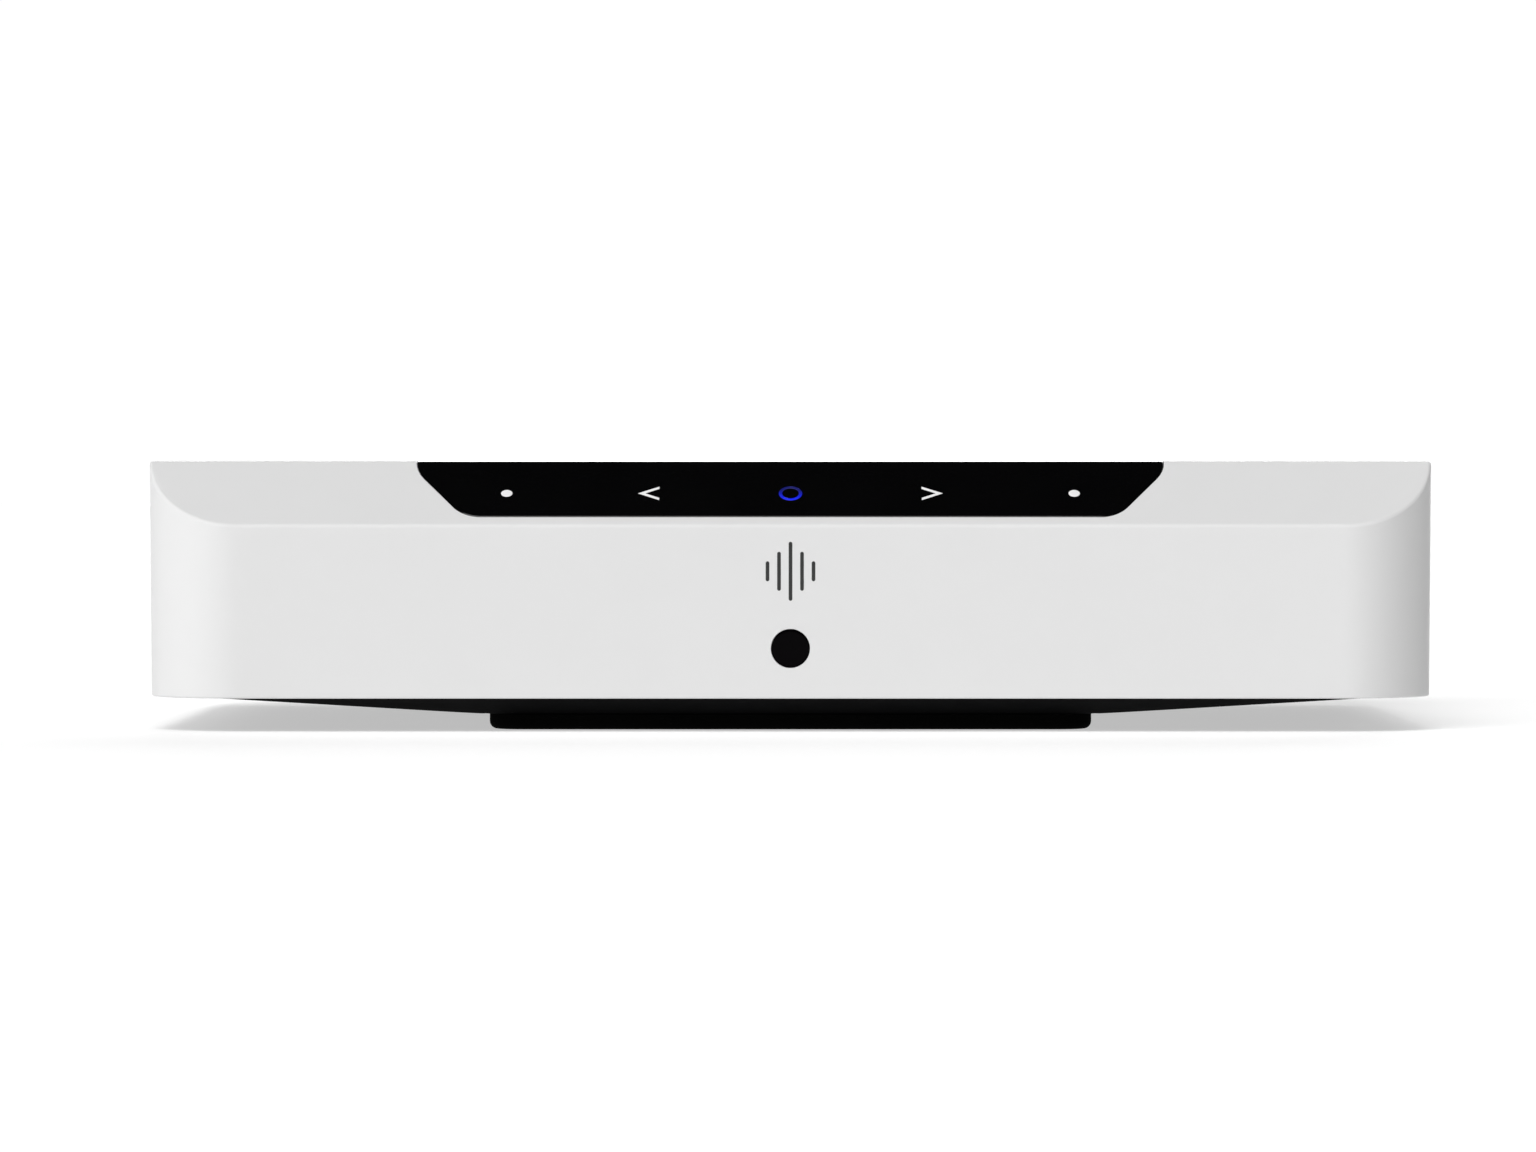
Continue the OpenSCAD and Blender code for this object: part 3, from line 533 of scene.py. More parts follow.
# colour, roughness, stretch of the drawn lines along X, Y and Z, and their depth in mm
METALS = {
    "steel": ((0.62, 0.61, 0.58), 0.28),
    "tinplate": ((0.70, 0.69, 0.66), 0.22, (1, 8, 1)),
    "aluminium": ((0.72, 0.73, 0.75), 0.32, (1, 6, 1)),
    "gold_plate": ((0.90, 0.66, 0.28), 0.16, (1, 1, 1), 0.001),
}
OTHERS = {
    "status_light": status_material,
    "circuit_board": board_material,
    "clear_glass": glass_material,
    "emitter_red": emitter_material,
}
MADE = {}


def slot_material(slot):
    """The material of a slot, made once."""
    if slot not in MADE:
        if slot in PLASTICS:
            MADE[slot] = plastic(slot, *PLASTICS[slot])
        elif slot in METALS:
            MADE[slot] = metal(slot, *METALS[slot])
        else:
            MADE[slot] = OTHERS[slot](slot)
    return MADE[slot]


def finish_piece(obj, slot, replaced=None, body=CASING, look=None):
    """Gives a piece its material and its place in the frame; look names a recipe other than the slot's."""
    obj.data.materials.clear()
    obj.data.materials.append(slot_material(look or slot))
    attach(obj, body)
    if replaced:
        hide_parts(replaced)


# ---------------------------------------------------------------- casing
TOP_BLEND = 1.5 * MM
TOP_EDGE = 0.5 * MM
RIM_EDGE = 0.35 * MM
OPEN_HALF = 95 * MM
OPEN_TOP = TOP_Z - 4.5 * MM
BLEND_LOW = SLOPE_Y - TOP_BLEND * math.tan(SLOPE_A / 2) * math.cos(SLOPE_A)
BLEND_HIGH = SLOPE_Y + TOP_BLEND * math.tan(SLOPE_A / 2)
LENS_Z = (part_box("ir_window")[0].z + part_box("ir_window")[1].z) / 2
LENS_R = 3.25 * MM
CEILING_DROP = 2.9 * MM
PANEL_SUNK = 0.03 * MM


def skin_height(y):
    """Height of the outer skin over the slope and the flat top, blended where they meet."""
    if y <= BLEND_LOW:
        return TOP_Z - (SLOPE_Y - y) * math.tan(SLOPE_A)
    if y >= BLEND_HIGH:
        return TOP_Z
    return TOP_Z - TOP_BLEND + math.sqrt(TOP_BLEND ** 2 - (y - BLEND_HIGH) ** 2)


def draft_at(z):
    """How far the casing's sides lean in at this height."""
    return DRAFT * (TOP_Z - z) / (TOP_Z - RIM_Z)


FRONT_SIDE = CORNER_STEPS           # the long front side starts at this point of casing_outline
REAR_GAP = 3 * (CORNER_STEPS + 1)   # and the rear opening at this one


def casing_outline(inset):
    """Casing seen from above, anticlockwise from the front left, with stops at the rear opening."""
    w, front, rear = HALF_W, FRONT_Y, REAR_Y
    corners = [(-w, front), (w, front), (w, rear), (-w, rear)]
    points = rounded(corners, [CORNER_F, CORNER_F, CORNER_R, CORNER_R], -inset, CORNER_STEPS)
    stops = [(OPEN_HALF, rear - inset), (-OPEN_HALF, rear - inset)]
    return points[:REAR_GAP] + stops + points[REAR_GAP:]


def casing_ring(m, extra, height):
    """One ring, this much inside the leaning outer wall; height is a function of the point's y."""
    points = []
    for (x0, y0), (x1, y1) in zip(casing_outline(0.0), casing_outline(MM)):
        step = (draft_at(height(y0)) + extra) / MM
        x, y = x0 + (x1 - x0) * step, y0 + (y1 - y0) * step
        points.append((x, y, height(y)))
    return m.ring(points)


def panel_outline(grow):
    """Touch panel seen from above, wider at the back."""
    low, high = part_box("touch_panel")
    front, back = 55.5 * MM, 71 * MM
    corners = [(-front, low.y), (front, low.y), (back, high.y), (-back, high.y)]
    return rounded(corners, [6 * MM, 6 * MM, 6.4 * MM, 6.4 * MM], grow, 14)


def blend_levels(count=6):
    """Places in Y at which the mesh follows the bend between the slope and the top."""
    return [BLEND_LOW + (BLEND_HIGH - BLEND_LOW) * k / count for k in range(count + 1)]


def front_place(z):
    """Drawing plane on the leaning front face, at this height."""
    lean = DRAFT / (TOP_Z - RIM_Z)
    return Place((0, FRONT_Y + draft_at(z), z), X, (0, -lean, 1))


def level(z):
    """A height for casing_ring that is the same all round."""
    return lambda y: z


def below_skin(drop):
    """A height for casing_ring that runs this far below the outer skin."""
    return lambda y: skin_height(y) - drop


def opening_top(y):
    """Top of the rear opening's side walls, kept below the rounded top edge on the slope."""
    return min(OPEN_TOP, skin_height(y) - TOP_EDGE - 1 * MM)


def skin_cap(m, loops, drop, margin=0.12 * MM, levels=6):
    """Fills a surface that runs this far below the outer skin."""
    guides = rows_inside(blend_levels(levels), m.outlines(loops, seen_from_above), margin)
    m.cap(loops, seen_from_above, lambda u, v: (u, v, skin_height(v) - drop), guides)


def shell_sides(m):
    """Walls, rim and rear opening. Returns the ceiling's ring, the top ring and the open front quad."""
    ceiling = casing_ring(m, WALL, below_skin(CEILING_DROP))
    inner = [casing_ring(m, WALL, opening_top), casing_ring(m, WALL, level(RIM_Z + 0.2 * MM))]
    sole = [casing_ring(m, inset, level(RIM_Z)) for inset in (WALL - 0.2 * MM, RIM_EDGE)]
    rounding = []
    for k in range(1, 5):
        t = math.pi / 2 * k / 4
        height = level(RIM_Z + RIM_EDGE * (1 - math.cos(t)))
        rounding.append(casing_ring(m, RIM_EDGE * (1 - math.sin(t)), height))
    outer = casing_ring(m, 0.0, opening_top)
    rings = inner + sole + rounding + [outer]
    m.bridge(ceiling, inner[0])
    m.stack(rings, skip=(REAR_GAP,))
    below, a, b = rounding[-1], FRONT_SIDE, FRONT_SIDE + 1
    front_quad = (below[a], below[b], outer[b], outer[a])
    m.faces.remove(front_quad)
    a, b = REAR_GAP, REAR_GAP + 1
    m.faces.append((inner[0][a], inner[0][b], outer[b], outer[a]))
    m.faces.append(tuple(ring[a] for ring in rings))
    m.faces.append(tuple(ring[b] for ring in reversed(rings)))
    return ceiling, outer, front_quad


def pierce_front(m, front_quad):
    """Front wall with the hole for the receiver window."""
    place = front_place(LENS_Z)
    hole = circle(0, 0, LENS_R + 0.06 * MM, 64)
    lips = [m.ring([place.at(u, v, -drop) for u, v in hole(inset)]) for inset, drop in edge_steps(0.12 * MM)]
    lips.append(m.ring([place.at(u, v, -1.6 * MM) for u, v in hole()]))
    m.stack(lips)
    m.cap([lips[-1]], place.flat)
    m.cap([list(front_quad), lips[0]], place.flat)


def shell_top(m, ceiling, outer):
    """Rounded edge round the top, then the skin with the pocket for the touch panel."""
    edges = [outer]
    for k in range(6):
        t = math.pi / 2 * k / 5
        drop = TOP_EDGE * (1 - math.sin(t))
        edges.append(casing_ring(m, TOP_EDGE * (1 - math.cos(t)), below_skin(drop)))
    m.stack(edges)
    gap, lip, depth = 0.10 * MM, 0.18 * MM, 1.25 * MM
    pocket = [m.ring([(x, y, skin_height(y) - drop) for x, y in panel_outline(gap + inset)])
              for inset, drop in edge_steps(lip)]
    pocket.append(m.ring([(x, y, skin_height(y) - depth) for x, y in panel_outline(gap)]))
    m.stack(pocket)
    skin_cap(m, [edges[-1], pocket[0]], 0)
    skin_cap(m, [pocket[-1]], depth)
    skin_cap(m, [ceiling], CEILING_DROP, 0.3 * MM, 2)


def make_shell():
    """White casing, open below and at the rear."""
    m = Maker()
    ceiling, outer, front_quad = shell_sides(m)
    pierce_front(m, front_quad)
    shell_top(m, ceiling, outer)
    finish_piece(m.build("casing_shell"), "white_shell", "top_shell")


def make_touch_panel():
    """Black acrylic plate that bends from the slope onto the flat top."""
    m = Maker()
    thick, margin = 1.1 * MM, 0.1 * MM
    rings = [m.ring([(x, y, skin_height(y) - PANEL_SUNK - drop) for x, y in panel_outline(-inset)])
             for inset, drop in edge_steps(0.22 * MM)]
    rings.append(m.ring([(x, y, skin_height(y) - PANEL_SUNK - thick) for x, y in panel_outline(0.0)]))
    m.stack(rings)
    skin_cap(m, [rings[0]], PANEL_SUNK, margin)
    skin_cap(m, [rings[-1]], PANEL_SUNK + thick, margin)
    finish_piece(m.build("touch_panel_plate"), "panel_gloss", "touch_panel")


# ---------------------------------------------------------------- touch symbols
SYMBOL_PITCH = 24.2 * MM
INK_T = 0.02 * MM
MARK_Z = 27.3 * MM


def slope_place(u=0.0):
    """Drawing plane on the touch panel, centred on the row of symbols."""
    low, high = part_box("status_ring")
    y = (low.y + high.y) / 2
    return Place((u, y, skin_height(y) - PANEL_SUNK), X, (0, math.cos(SLOPE_A), math.sin(SLOPE_A)))


def inlay(name, place, outline, pockets=()):
    """A light window set flush in the panel, a hair proud of it."""
    return carved(name, place.raised(INK_T), outline, 0.3 * MM, pockets, 0.015 * MM, steps=2)


def arrow_outline(side):
    """Open arrowhead that points to the left (side -1) or to the right (side 1)."""
    points = in_mm([(-1.83, 0), (1.83, -1.93), (1.83, -1.28), (-0.55, 0), (1.83, 1.28), (1.83, 1.93)])
    if side > 0:
        points = [(-u, v) for u, v in reversed(points)]
    return polygon(points, 0.03 * MM, 3)


def make_symbols():
    """Two dots, two arrows and the ring between them."""
    dot = circle(0, 0, 0.97 * MM, 40)
    dots = [inlay("dot", slope_place(side * 2 * SYMBOL_PITCH), dot) for side in (-1, 1)]
    finish_piece(join("touch_dot_windows", dots), "light_window", "touch_dots")
    arrows = [inlay("arrow", slope_place(side * SYMBOL_PITCH), arrow_outline(side)) for side in (-1, 1)]
    finish_piece(join("touch_arrow_windows", arrows), "light_window", "touch_arrows")
    hole = Pocket(circle(0, 0, 1.42 * MM, 64), lip=0.015 * MM)
    ring = inlay("status_ring_window", slope_place(), circle(0, 0, 2.0 * MM, 64), [hole])
    finish_piece(ring, "status_light", "status_ring")


def make_lens():
    """Round dark window of the infrared receiver, very slightly domed."""
    sunk, crown, edge, back = 0.05 * MM, 0.06 * MM, 0.12 * MM, -1.5 * MM
    dome = [(LENS_R * k / 6, -sunk - crown * (k / 6) ** 2) for k in range(6)]
    rim = [(LENS_R - edge * (1 - math.sin(t)), -sunk - crown - edge * (1 - math.cos(t)))
           for t in (0, math.pi / 6, math.pi / 3, math.pi / 2)]
    lens = lathe("receiver_lens", front_place(LENS_Z), dome + rim + [(LENS_R, back), (0, back)], 64)
    finish_piece(lens, "window_gloss", "ir_window")


def make_front_mark():
    """Five upright level bars, a plain sign for sound, printed on the front face."""
    place = front_place(MARK_Z).raised(INK_T)
    pitch, width = 1.95 * MM, 0.62 * MM
    bars = []
    for i, height in enumerate((3.4, 6.6, 10.0, 6.6, 3.4)):
        bar = rectangle((i - 2) * pitch, 0, width, height * MM, width / 2 - 0.001 * MM, 5)
        bars.append(carved("bar", place, bar, 0.05 * MM, edge=0.006 * MM, steps=2))
    finish_piece(join("front_level_bars", bars), "black_steel")


# ---------------------------------------------------------------- underside and foot
COVER_TOP = 9 * MM
COVER_GAP = 0.15 * MM
COVER_T = 2 * MM
BELLY_Z = 2.6 * MM
BELLY_HALF = 98 * MM
FOOT_LOW, FOOT_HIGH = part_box("rubber_foot")
CREASE_BLEND = 1.2 * MM
POST_AT = in_mm([(side * 99, y) for side in (-1, 1) for y in (-44, 40)])
BOSS_AT = in_mm([(x, y) for x in (-89, 46, 58, 89) for y in (-52, 34)])
SEAT_Z = RIM_Z + 1.8 * MM


def smooth_top(a, b):
    """The larger of two heights, blended where they cross."""
    blend = 0.12 * MM
    return (a + b + math.sqrt((a - b) ** 2 + blend ** 2)) / 2


def ramp_height(at, flat_end, slope_end):
    """Height of the underside at this distance: foot level, then a slope up to the rim."""
    t = (at - flat_end) / (slope_end - flat_end)
    slope = BELLY_Z + (RIM_Z - BELLY_Z) * t
    return -smooth_top(-smooth_top(slope, BELLY_Z), -RIM_Z)


def belly_height(x, y):
    """Height of the underside's outer skin."""
    across = ramp_height(abs(x), FOOT_HIGH.x, BELLY_HALF)
    front = ramp_height(-y, -FOOT_LOW.y, -(FRONT_Y + WALL))
    rear = ramp_height(y, FOOT_HIGH.y, REAR_Y - WALL)
    return smooth_top(smooth_top(across, front), rear)


def cover_outline(grow=0.0):
    """Underside seen from above: inside the casing's wall, with a tab into the rear opening."""
    inset = WALL + COVER_GAP
    w, front, rear = HALF_W - inset, FRONT_Y + inset, REAR_Y - inset
    tab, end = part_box("bottom_cover")[1].y, OPEN_HALF - 0.2 * MM
    corners = [(-w, front), (w, front), (w, rear), (end, rear),
               (end, tab), (-end, tab), (-end, rear), (-w, rear)]
    front_r, rear_r, root_r, tab_r = CORNER_F - inset, CORNER_R - inset, 2.4 * MM, COVER_T + 0.4 * MM
    radii = [front_r, front_r, rear_r, root_r, tab_r, tab_r, root_r, rear_r]
    return rounded(corners, radii, grow, 12)


def crease_guides(margin):
    """Lines either side of each bend of the underside, which keep the bends crisp in the mesh."""
    low_x, high_x, low_y, high_y = FOOT_HIGH.x, BELLY_HALF, FOOT_LOW.y, FOOT_HIGH.y
    front, rear = FRONT_Y + WALL, REAR_Y - WALL
    lines = []
    for offset in (-CREASE_BLEND, -CREASE_BLEND / 3, CREASE_BLEND / 3, CREASE_BLEND):
        for side in (-1, 1):
            near, far = side * (low_x + offset), side * (high_x + offset)
            lines.append([(near, low_y - offset), (near, high_y + offset)])
            lines.append([(far, front + margin), (far, rear - margin)])
            for inner, outer in ((low_y, front), (high_y, rear)):
                ends = [(side * low_x, inner + offset), (side * high_x, outer + offset)]
                lines.append(shortened(ends, margin))
        lines.append([(-low_x - offset, low_y - offset), (low_x + offset, low_y - offset)])
        lines.append([(-low_x - offset, high_y + offset), (low_x + offset, high_y + offset)])
    return lines


def shortened(line, margin):
    """A line with this much cut off at each end."""
    (u0, v0), (u1, v1) = line
    du, dv = unit(u1 - u0, v1 - v0)
    return [(u0 + du * margin, v0 + dv * margin), (u1 - du * margin, v1 - dv * margin)]


def sunk_belly(rise):
    """A height that runs this far above the underside's outer skin."""
    return lambda x, y: belly_height(x, y) + rise


def flat_at(z):
    return lambda x, y: z


def ring_over(m, outline, height):
    """A ring on an outline seen from above, at a height that depends on the point."""
    return m.ring([(x, y, height(x, y)) for x, y in outline])


def screw_post(m, x0, y0):
    """Deep hole for a casing screw, and the post round it. Returns the hole's and the post's rings."""
    hole, bore, post = (circle(x0, y0, r * MM) for r in (3.1, 1.7, 4.2))
    lips = [ring_over(m, hole(inset), sunk_belly(drop)) for inset, drop in edge_steps(0.2 * MM)]
    seat = ring_over(m, hole(), flat_at(SEAT_Z))
    low, high = [ring_over(m, bore(), flat_at(z)) for z in (SEAT_Z, COVER_TOP)]
    foot = ring_over(m, post(), sunk_belly(COVER_T - 0.2 * MM))
    head = ring_over(m, post(), flat_at(COVER_TOP))
    m.stack(lips + [seat])
    m.cap([seat, low], seen_from_above)
    m.stack([low, high])
    m.cap([head, high], seen_from_above)
    m.stack([head, foot])
    return lips[0], foot


def board_boss(m, x0, y0):
    """Small post with a blind screw hole, under a circuit board. Returns its lowest ring."""
    outer, hole = (circle(x0, y0, r * MM, 32)() for r in (3.0, 1.3))
    top = flat_at(10 * MM)
    rings = [ring_over(m, outer, sunk_belly(COVER_T)), ring_over(m, outer, top),
             ring_over(m, hole, top), ring_over(m, hole, flat_at(7 * MM))]
    m.stack(rings[:2])
    m.cap([rings[1], rings[2]], seen_from_above)
    m.stack(rings[2:])
    m.cap([rings[3]], seen_from_above)
    return rings[0]


def belly_cap(m, loops, rise, margin):
    """Fills a surface of the underside, with mesh lines along its bends."""
    guides = kept_clear(crease_guides(margin), m.outlines(loops, seen_from_above))
    m.cap(loops, seen_from_above, lambda u, v: (u, v, belly_height(u, v) + rise), guides)


def make_underside():
    """Black tray: creased outer skin with deep screw holes, an inner floor and posts for the boards."""
    m = Maker()
    skin = [ring_over(m, cover_outline(-inset), sunk_belly(drop)) for inset, drop in edge_steps(0.3 * MM)]
    walls = [ring_over(m, cover_outline(), flat_at(COVER_TOP)),
             ring_over(m, cover_outline(-COVER_T), flat_at(COVER_TOP)),
             ring_over(m, cover_outline(-COVER_T), sunk_belly(COVER_T))]
    m.stack(skin + walls)
    screw_posts = [screw_post(m, x, y) for x, y in POST_AT]
    holes = [hole for hole, post in screw_posts]
    posts = [post for hole, post in screw_posts] + [board_boss(m, x, y) for x, y in BOSS_AT]
    belly_cap(m, [skin[0]] + holes, 0, 1 * MM)
    belly_cap(m, [walls[-1]] + posts, COVER_T, 3 * MM)
    # the tray wears the painted-shade copy of black_shell, darker and duller than the rear panel's plastic
    finish_piece(m.build("underside_tray", 50), "black_shell", "bottom_cover", look="underside")


def kept_clear(lines, loops, step=2.0 * MM, margin=0.6 * MM):
    """Cuts guide lines into the stretches that stay inside the first loop and clear of every loop."""
    kept = []
    for (u0, v0), (u1, v1) in lines:
        count = max(2, int(math.hypot(u1 - u0, v1 - v0) / step))
        run = []
        for k in range(count + 1):
            u, v = u0 + (u1 - u0) * k / count, v0 + (v1 - v0) * k / count
            clear = sum(inside(u, v, loop) for loop in loops) == 1
            if clear and min(edge_distance(u, v, loop) for loop in loops) > margin:
                run.append((u, v))
            else:
                kept.append(run)
                run = []
        kept.append(run)
    return [run for run in kept if len(run) > 1]


def edge_distance(u, v, loop):
    """Distance from a point to an outline's corners and sides."""
    best = 1.0
    for (u0, v0), (u1, v1) in zip(loop, loop[1:] + loop[:1]):
        du, dv = u1 - u0, v1 - v0
        t = max(0.0, min(1.0, ((u - u0) * du + (v - v0) * dv) / (du * du + dv * dv + 1e-18)))
        best = min(best, math.hypot(u - u0 - du * t, v - v0 - dv * t))
    return best


def make_foot():
    """Wide rubber foot with a rounded rim and a tread of shallow grooves."""
    centre = (FOOT_LOW + FOOT_HIGH) / 2
    width, length = FOOT_HIGH.x - FOOT_LOW.x, FOOT_HIGH.y - FOOT_LOW.y
    place = Place((0, centre.y, 0), X, -Y)
    pitch, groove_w, groove_l, groove_r = 7 * MM, 1.4 * MM, 88 * MM, 0.69 * MM
    grooves = [Pocket(rectangle(0, i * pitch, groove_l, groove_w, groove_r, 5), 0.6 * MM, lip=0.25 * MM)
               for i in range(-7, 8)]
    outline = rectangle(0, 0, width, length, 6 * MM, 12)
    foot = carved("rubber_foot_pad", place, outline, FOOT_HIGH.z, grooves, edge=1.3 * MM, steps=6)
    finish_piece(foot, "foot_rubber", "rubber_foot")


# ---------------------------------------------------------------- screws
HEAD_R = 2.8 * MM
SHANK_R = 1.5 * MM


def cross(arm, width, turn=0.0):
    """Cross-shaped driver recess."""
    a, w = arm / 2, width / 2
    corners = [(w, w), (w, a), (-w, a), (-w, w), (-a, w), (-a, -w), (-w, -w), (-w, -a), (w, -a), (w, -w),
               (a, -w), (a, w)]
    c, s = math.cos(turn), math.sin(turn)
    radii = [0.12 * MM, 0.15 * MM, 0.15 * MM] * 4
    return polygon([(u * c - v * s, u * s + v * c) for u, v in corners], radii, 3)


def make_screw(place, head_t, shank_l, turn):
    """Pan-head screw; place is on the head's outer face."""
    recess = Pocket(cross(0.95 * HEAD_R, 0.24 * HEAD_R, turn), 0.9 * MM, lip=0.08 * MM)
    head = carved("screw", place, circle(0, 0, HEAD_R), head_t, [recess], edge=0.55 * head_t, steps=5)
    pitch, root_r, end = 0.6 * MM, SHANK_R * 0.8, -head_t - shank_l
    thread = [(0, -head_t), (root_r, -head_t)]
    for i in range(int((shank_l - 1 * MM) / pitch)):
        w = -head_t - 0.4 * MM - i * pitch
        thread += [(root_r, w), (SHANK_R, w - pitch / 2)]
    thread += [(root_r, end + 0.4 * MM), (SHANK_R * 0.4, end), (0, end)]
    return join("screw", [head, lathe("shank", place, thread, 24)])


def make_screws():
    """Four screws under the casing and two in the rear panel, each turned differently."""
    low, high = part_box("casing_screws")
    under = [make_screw(Place((x, y, low.z), X, -Y), 1.6 * MM, high.z - SEAT_Z, 0.5 + 0.9 * i)
             for i, (x, y) in enumerate(POST_AT)]
    finish_piece(join("underside_screws", under), "steel", "casing_screws")
    low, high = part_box("panel_screws")
    height = (low.z + high.z) / 2
    rear = [make_screw(Place((x, high.y, height), -X, Z), 1.3 * MM, 8 * MM, turn)
            for x, turn in ((low.x + HEAD_R, 0.4), (high.x - HEAD_R, 1.1))]
    finish_piece(join("rear_panel_screws", rear), "black_steel", "panel_screws")


# ---------------------------------------------------------------- rear panel and its sockets
JACKS = ("digital", "sub", "left", "right")
JACK_COLOURS = ("insulator_orange", "insulator_purple", "insulator_white", "insulator_red")
JACK_R = 4.15 * MM
JACK_WALL = 0.7 * MM
MINI_JACKS = ("audio_mini_jack", "trigger_mini_jack")
MINI_Z = 16.2 * MM
MINI_NOSE_R = 3.2 * MM
MINI_BORE_R = 1.8 * MM
FIT = 0.1 * MM


def spot(node):
    """Lowest corner, highest corner and centre of a CAD node."""
    low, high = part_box(node)
    return low, high, (low + high) / 2


def face_of(node):
    """Drawing plane on a CAD node's rear face, about its middle, and the node's size."""
    low, high, centre = spot(node)
    return behind(centre.x, high.y, centre.z), high - low


def behind(x, y, z):
    """Drawing plane that faces the back: u runs towards -X and v runs up."""
    return Place((x, y, z), -X, Z)


def figure_eight(r, steps=20):
    """Mouth of the mains inlet: two round lobes joined by a lower bridge."""
    bridge_v = 0.75 * r

    def draw(grow=0.0):
        points = []
        lobe = r + grow
        cut = math.asin(min(1.0, (bridge_v + grow) / lobe))
        for side in (1, -1):
            for k in range(steps + 1):
                t = (math.pi - cut) * (2 * k / steps - 1)
                points.append((side * (r + lobe * math.cos(t)), side * lobe * math.sin(t)))
        return points
    return draw


def make_rear_panel():
    """Sheet with a hole for each socket, the button and the screws."""
    low, high, centre = spot("rear_panel")
    holes = []
    for node in ("mains_inlet", "network_socket", "usb_socket", "optical_socket"):
        a, b, mid = spot(node)
        outline = rectangle(-mid.x, mid.z, b.x - a.x + 2 * FIT, b.z - a.z + 2 * FIT, 0.5 * MM)
        holes.append(Pocket(outline, lip=0.25 * MM))
    for name in JACKS:
        mid = spot(name + "_jack_insulator")[2]
        holes.append(Pocket(circle(-mid.x, mid.z, JACK_R + FIT), lip=0.2 * MM))
    for name in MINI_JACKS:
        holes.append(Pocket(circle(-spot(name)[2].x, MINI_Z, MINI_NOSE_R + FIT), lip=0.2 * MM))
    mid = spot("reset_button")[2]
    holes.append(Pocket(circle(-mid.x, mid.z, 1.65 * MM, 32), lip=0.25 * MM))
    left, right, mid = spot("panel_screws")
    for x in (left.x + HEAD_R, right.x - HEAD_R):
        holes.append(Pocket(circle(-x, mid.z, SHANK_R + FIT, 24)))
    outline = rectangle(0, centre.z, high.x - low.x, high.z - low.z, 0.6 * MM)
    panel = carved("rear_panel_plate", behind(0, high.y, 0), outline, high.y - low.y, holes, edge=0.3 * MM)
    finish_piece(panel, "black_shell", "rear_panel")


def make_mains_inlet():
    """Inlet block with a recessed field and a mouth, and two pins with round ends."""
    place, size = face_of("mains_inlet")
    margin = 3 * MM
    mouth = Pocket(figure_eight(3.9 * MM), 11 * MM, lip=0.5 * MM)
    field = rectangle(0, 0, size.x - margin, size.z - margin, 2.6 * MM)
    block = carved("mains_inlet_housing", place, rectangle(0, 0, size.x, size.z, 1.2 * MM), size.y,
                   [Pocket(field, 0.35 * MM, [mouth], lip=0.2 * MM)], edge=0.4 * MM)
    finish_piece(block, "socket_black", "mains_inlet")
    low, high, _ = spot("inlet_pins")
    r, tip, root = 1.2 * MM, high.y - place.origin.y, low.y - place.origin.y
    dome = [(r * math.sin(t), tip - r * (1 - math.cos(t))) for t in [math.pi / 12 * k for k in range(7)]]
    pair = [lathe("pin", place, dome + [(r, root), (0, root)], 32, (side * 4.3 * MM, 0)) for side in (-1, 1)]
    finish_piece(join("mains_inlet_pins", pair), "tinplate", "inlet_pins")


def network_mouth(grow=0.0):
    """Mouth of the network socket with its stepped latch slot, about the mouth's middle."""
    left = in_mm([(-5.95, 3.7), (-5.95, -3.7), (-3.1, -3.7), (-3.1, -5.5), (-1.7, -5.5), (-1.7, -6.9)])
    return rounded(left + [(-u, v) for u, v in reversed(left)], [0.2 * MM] * 12, grow, 3)


def thick_line(points, half):
    """Closed outline round an open line of points."""
    sides = []
    for way in (1, -1):
        run = points if way > 0 else points[::-1]
        for i, (u, v) in enumerate(run):
            a, b = run[max(i - 1, 0)], run[min(i + 1, len(run) - 1)]
            du, dv = unit(b[0] - a[0], b[1] - a[1])
            sides.append((u + dv * half, v - du * half))
    return sides


def bent_strip(name, x, path, half, width, edge):
    """Sheet strip or wire that follows a line of (y, z) points; it spreads from x towards -X."""
    outline = lambda grow=0.0: thick_line(path, half + grow)
    return carved(name, Place((x, 0, 0), Y, Z), outline, width, edge=edge, back_edge=edge, steps=2)


def lamp_outlines(w, h, r):
    """The two lamps of the network socket, at the insert's upper corners, in millimetres."""
    return [rectangle(side * 4.6 * MM, 4.55 * MM, w * MM, h * MM, r * MM) for side in (-1, 1)]


def make_network_socket():
    """Metal shield, black insert with a stepped mouth, two lamps and eight bent wires."""
    place, size = face_of("network_socket")
    centre = place.origin
    sheet, fit = 0.4 * MM, 0.1 * MM
    hollow_w, hollow_h = size.x - 2 * sheet, size.z - 2 * sheet
    hollow = Pocket(rectangle(0, 0, hollow_w, hollow_h, 0.25 * MM), size.y - sheet, lip=0.15 * MM)
    shield = carved("network_shield", place, rectangle(0, 0, size.x, size.z, 0.5 * MM), size.y, [hollow],
                    edge=0.15 * MM)
    finish_piece(shield, "tinplate", "network_socket")
    mouth_z = spot("network_socket")[0].z + 7.9 * MM
    insert_place = behind(centre.x, centre.y - 0.25 * MM, mouth_z)
    lamps = [Pocket(outline, 0.3 * MM, lip=0.08 * MM) for outline in lamp_outlines(2.6, 0.8, 0.2)]
    block = rectangle(0, centre.z - mouth_z, hollow_w - fit, hollow_h - fit, 0.2 * MM)
    insert = carved("network_insert", insert_place, block, size.y - 1.2 * MM,
                    [Pocket(network_mouth, 14 * MM, lip=0.3 * MM)] + lamps, edge=0.2 * MM)
    finish_piece(insert, "socket_black", "network_socket")
    sunk = insert_place.raised(-0.08 * MM)
    slots, names = ("light_window", "insulator_orange"), ("network_lamp_left", "network_lamp_right")
    for outline, slot, name in zip(lamp_outlines(2.5, 0.7, 0.18), slots, names):
        finish_piece(carved(name, sunk, outline, 0.2 * MM, edge=0.06 * MM), slot)
    make_network_wires(centre.x, mouth_z + 3.7 * MM)


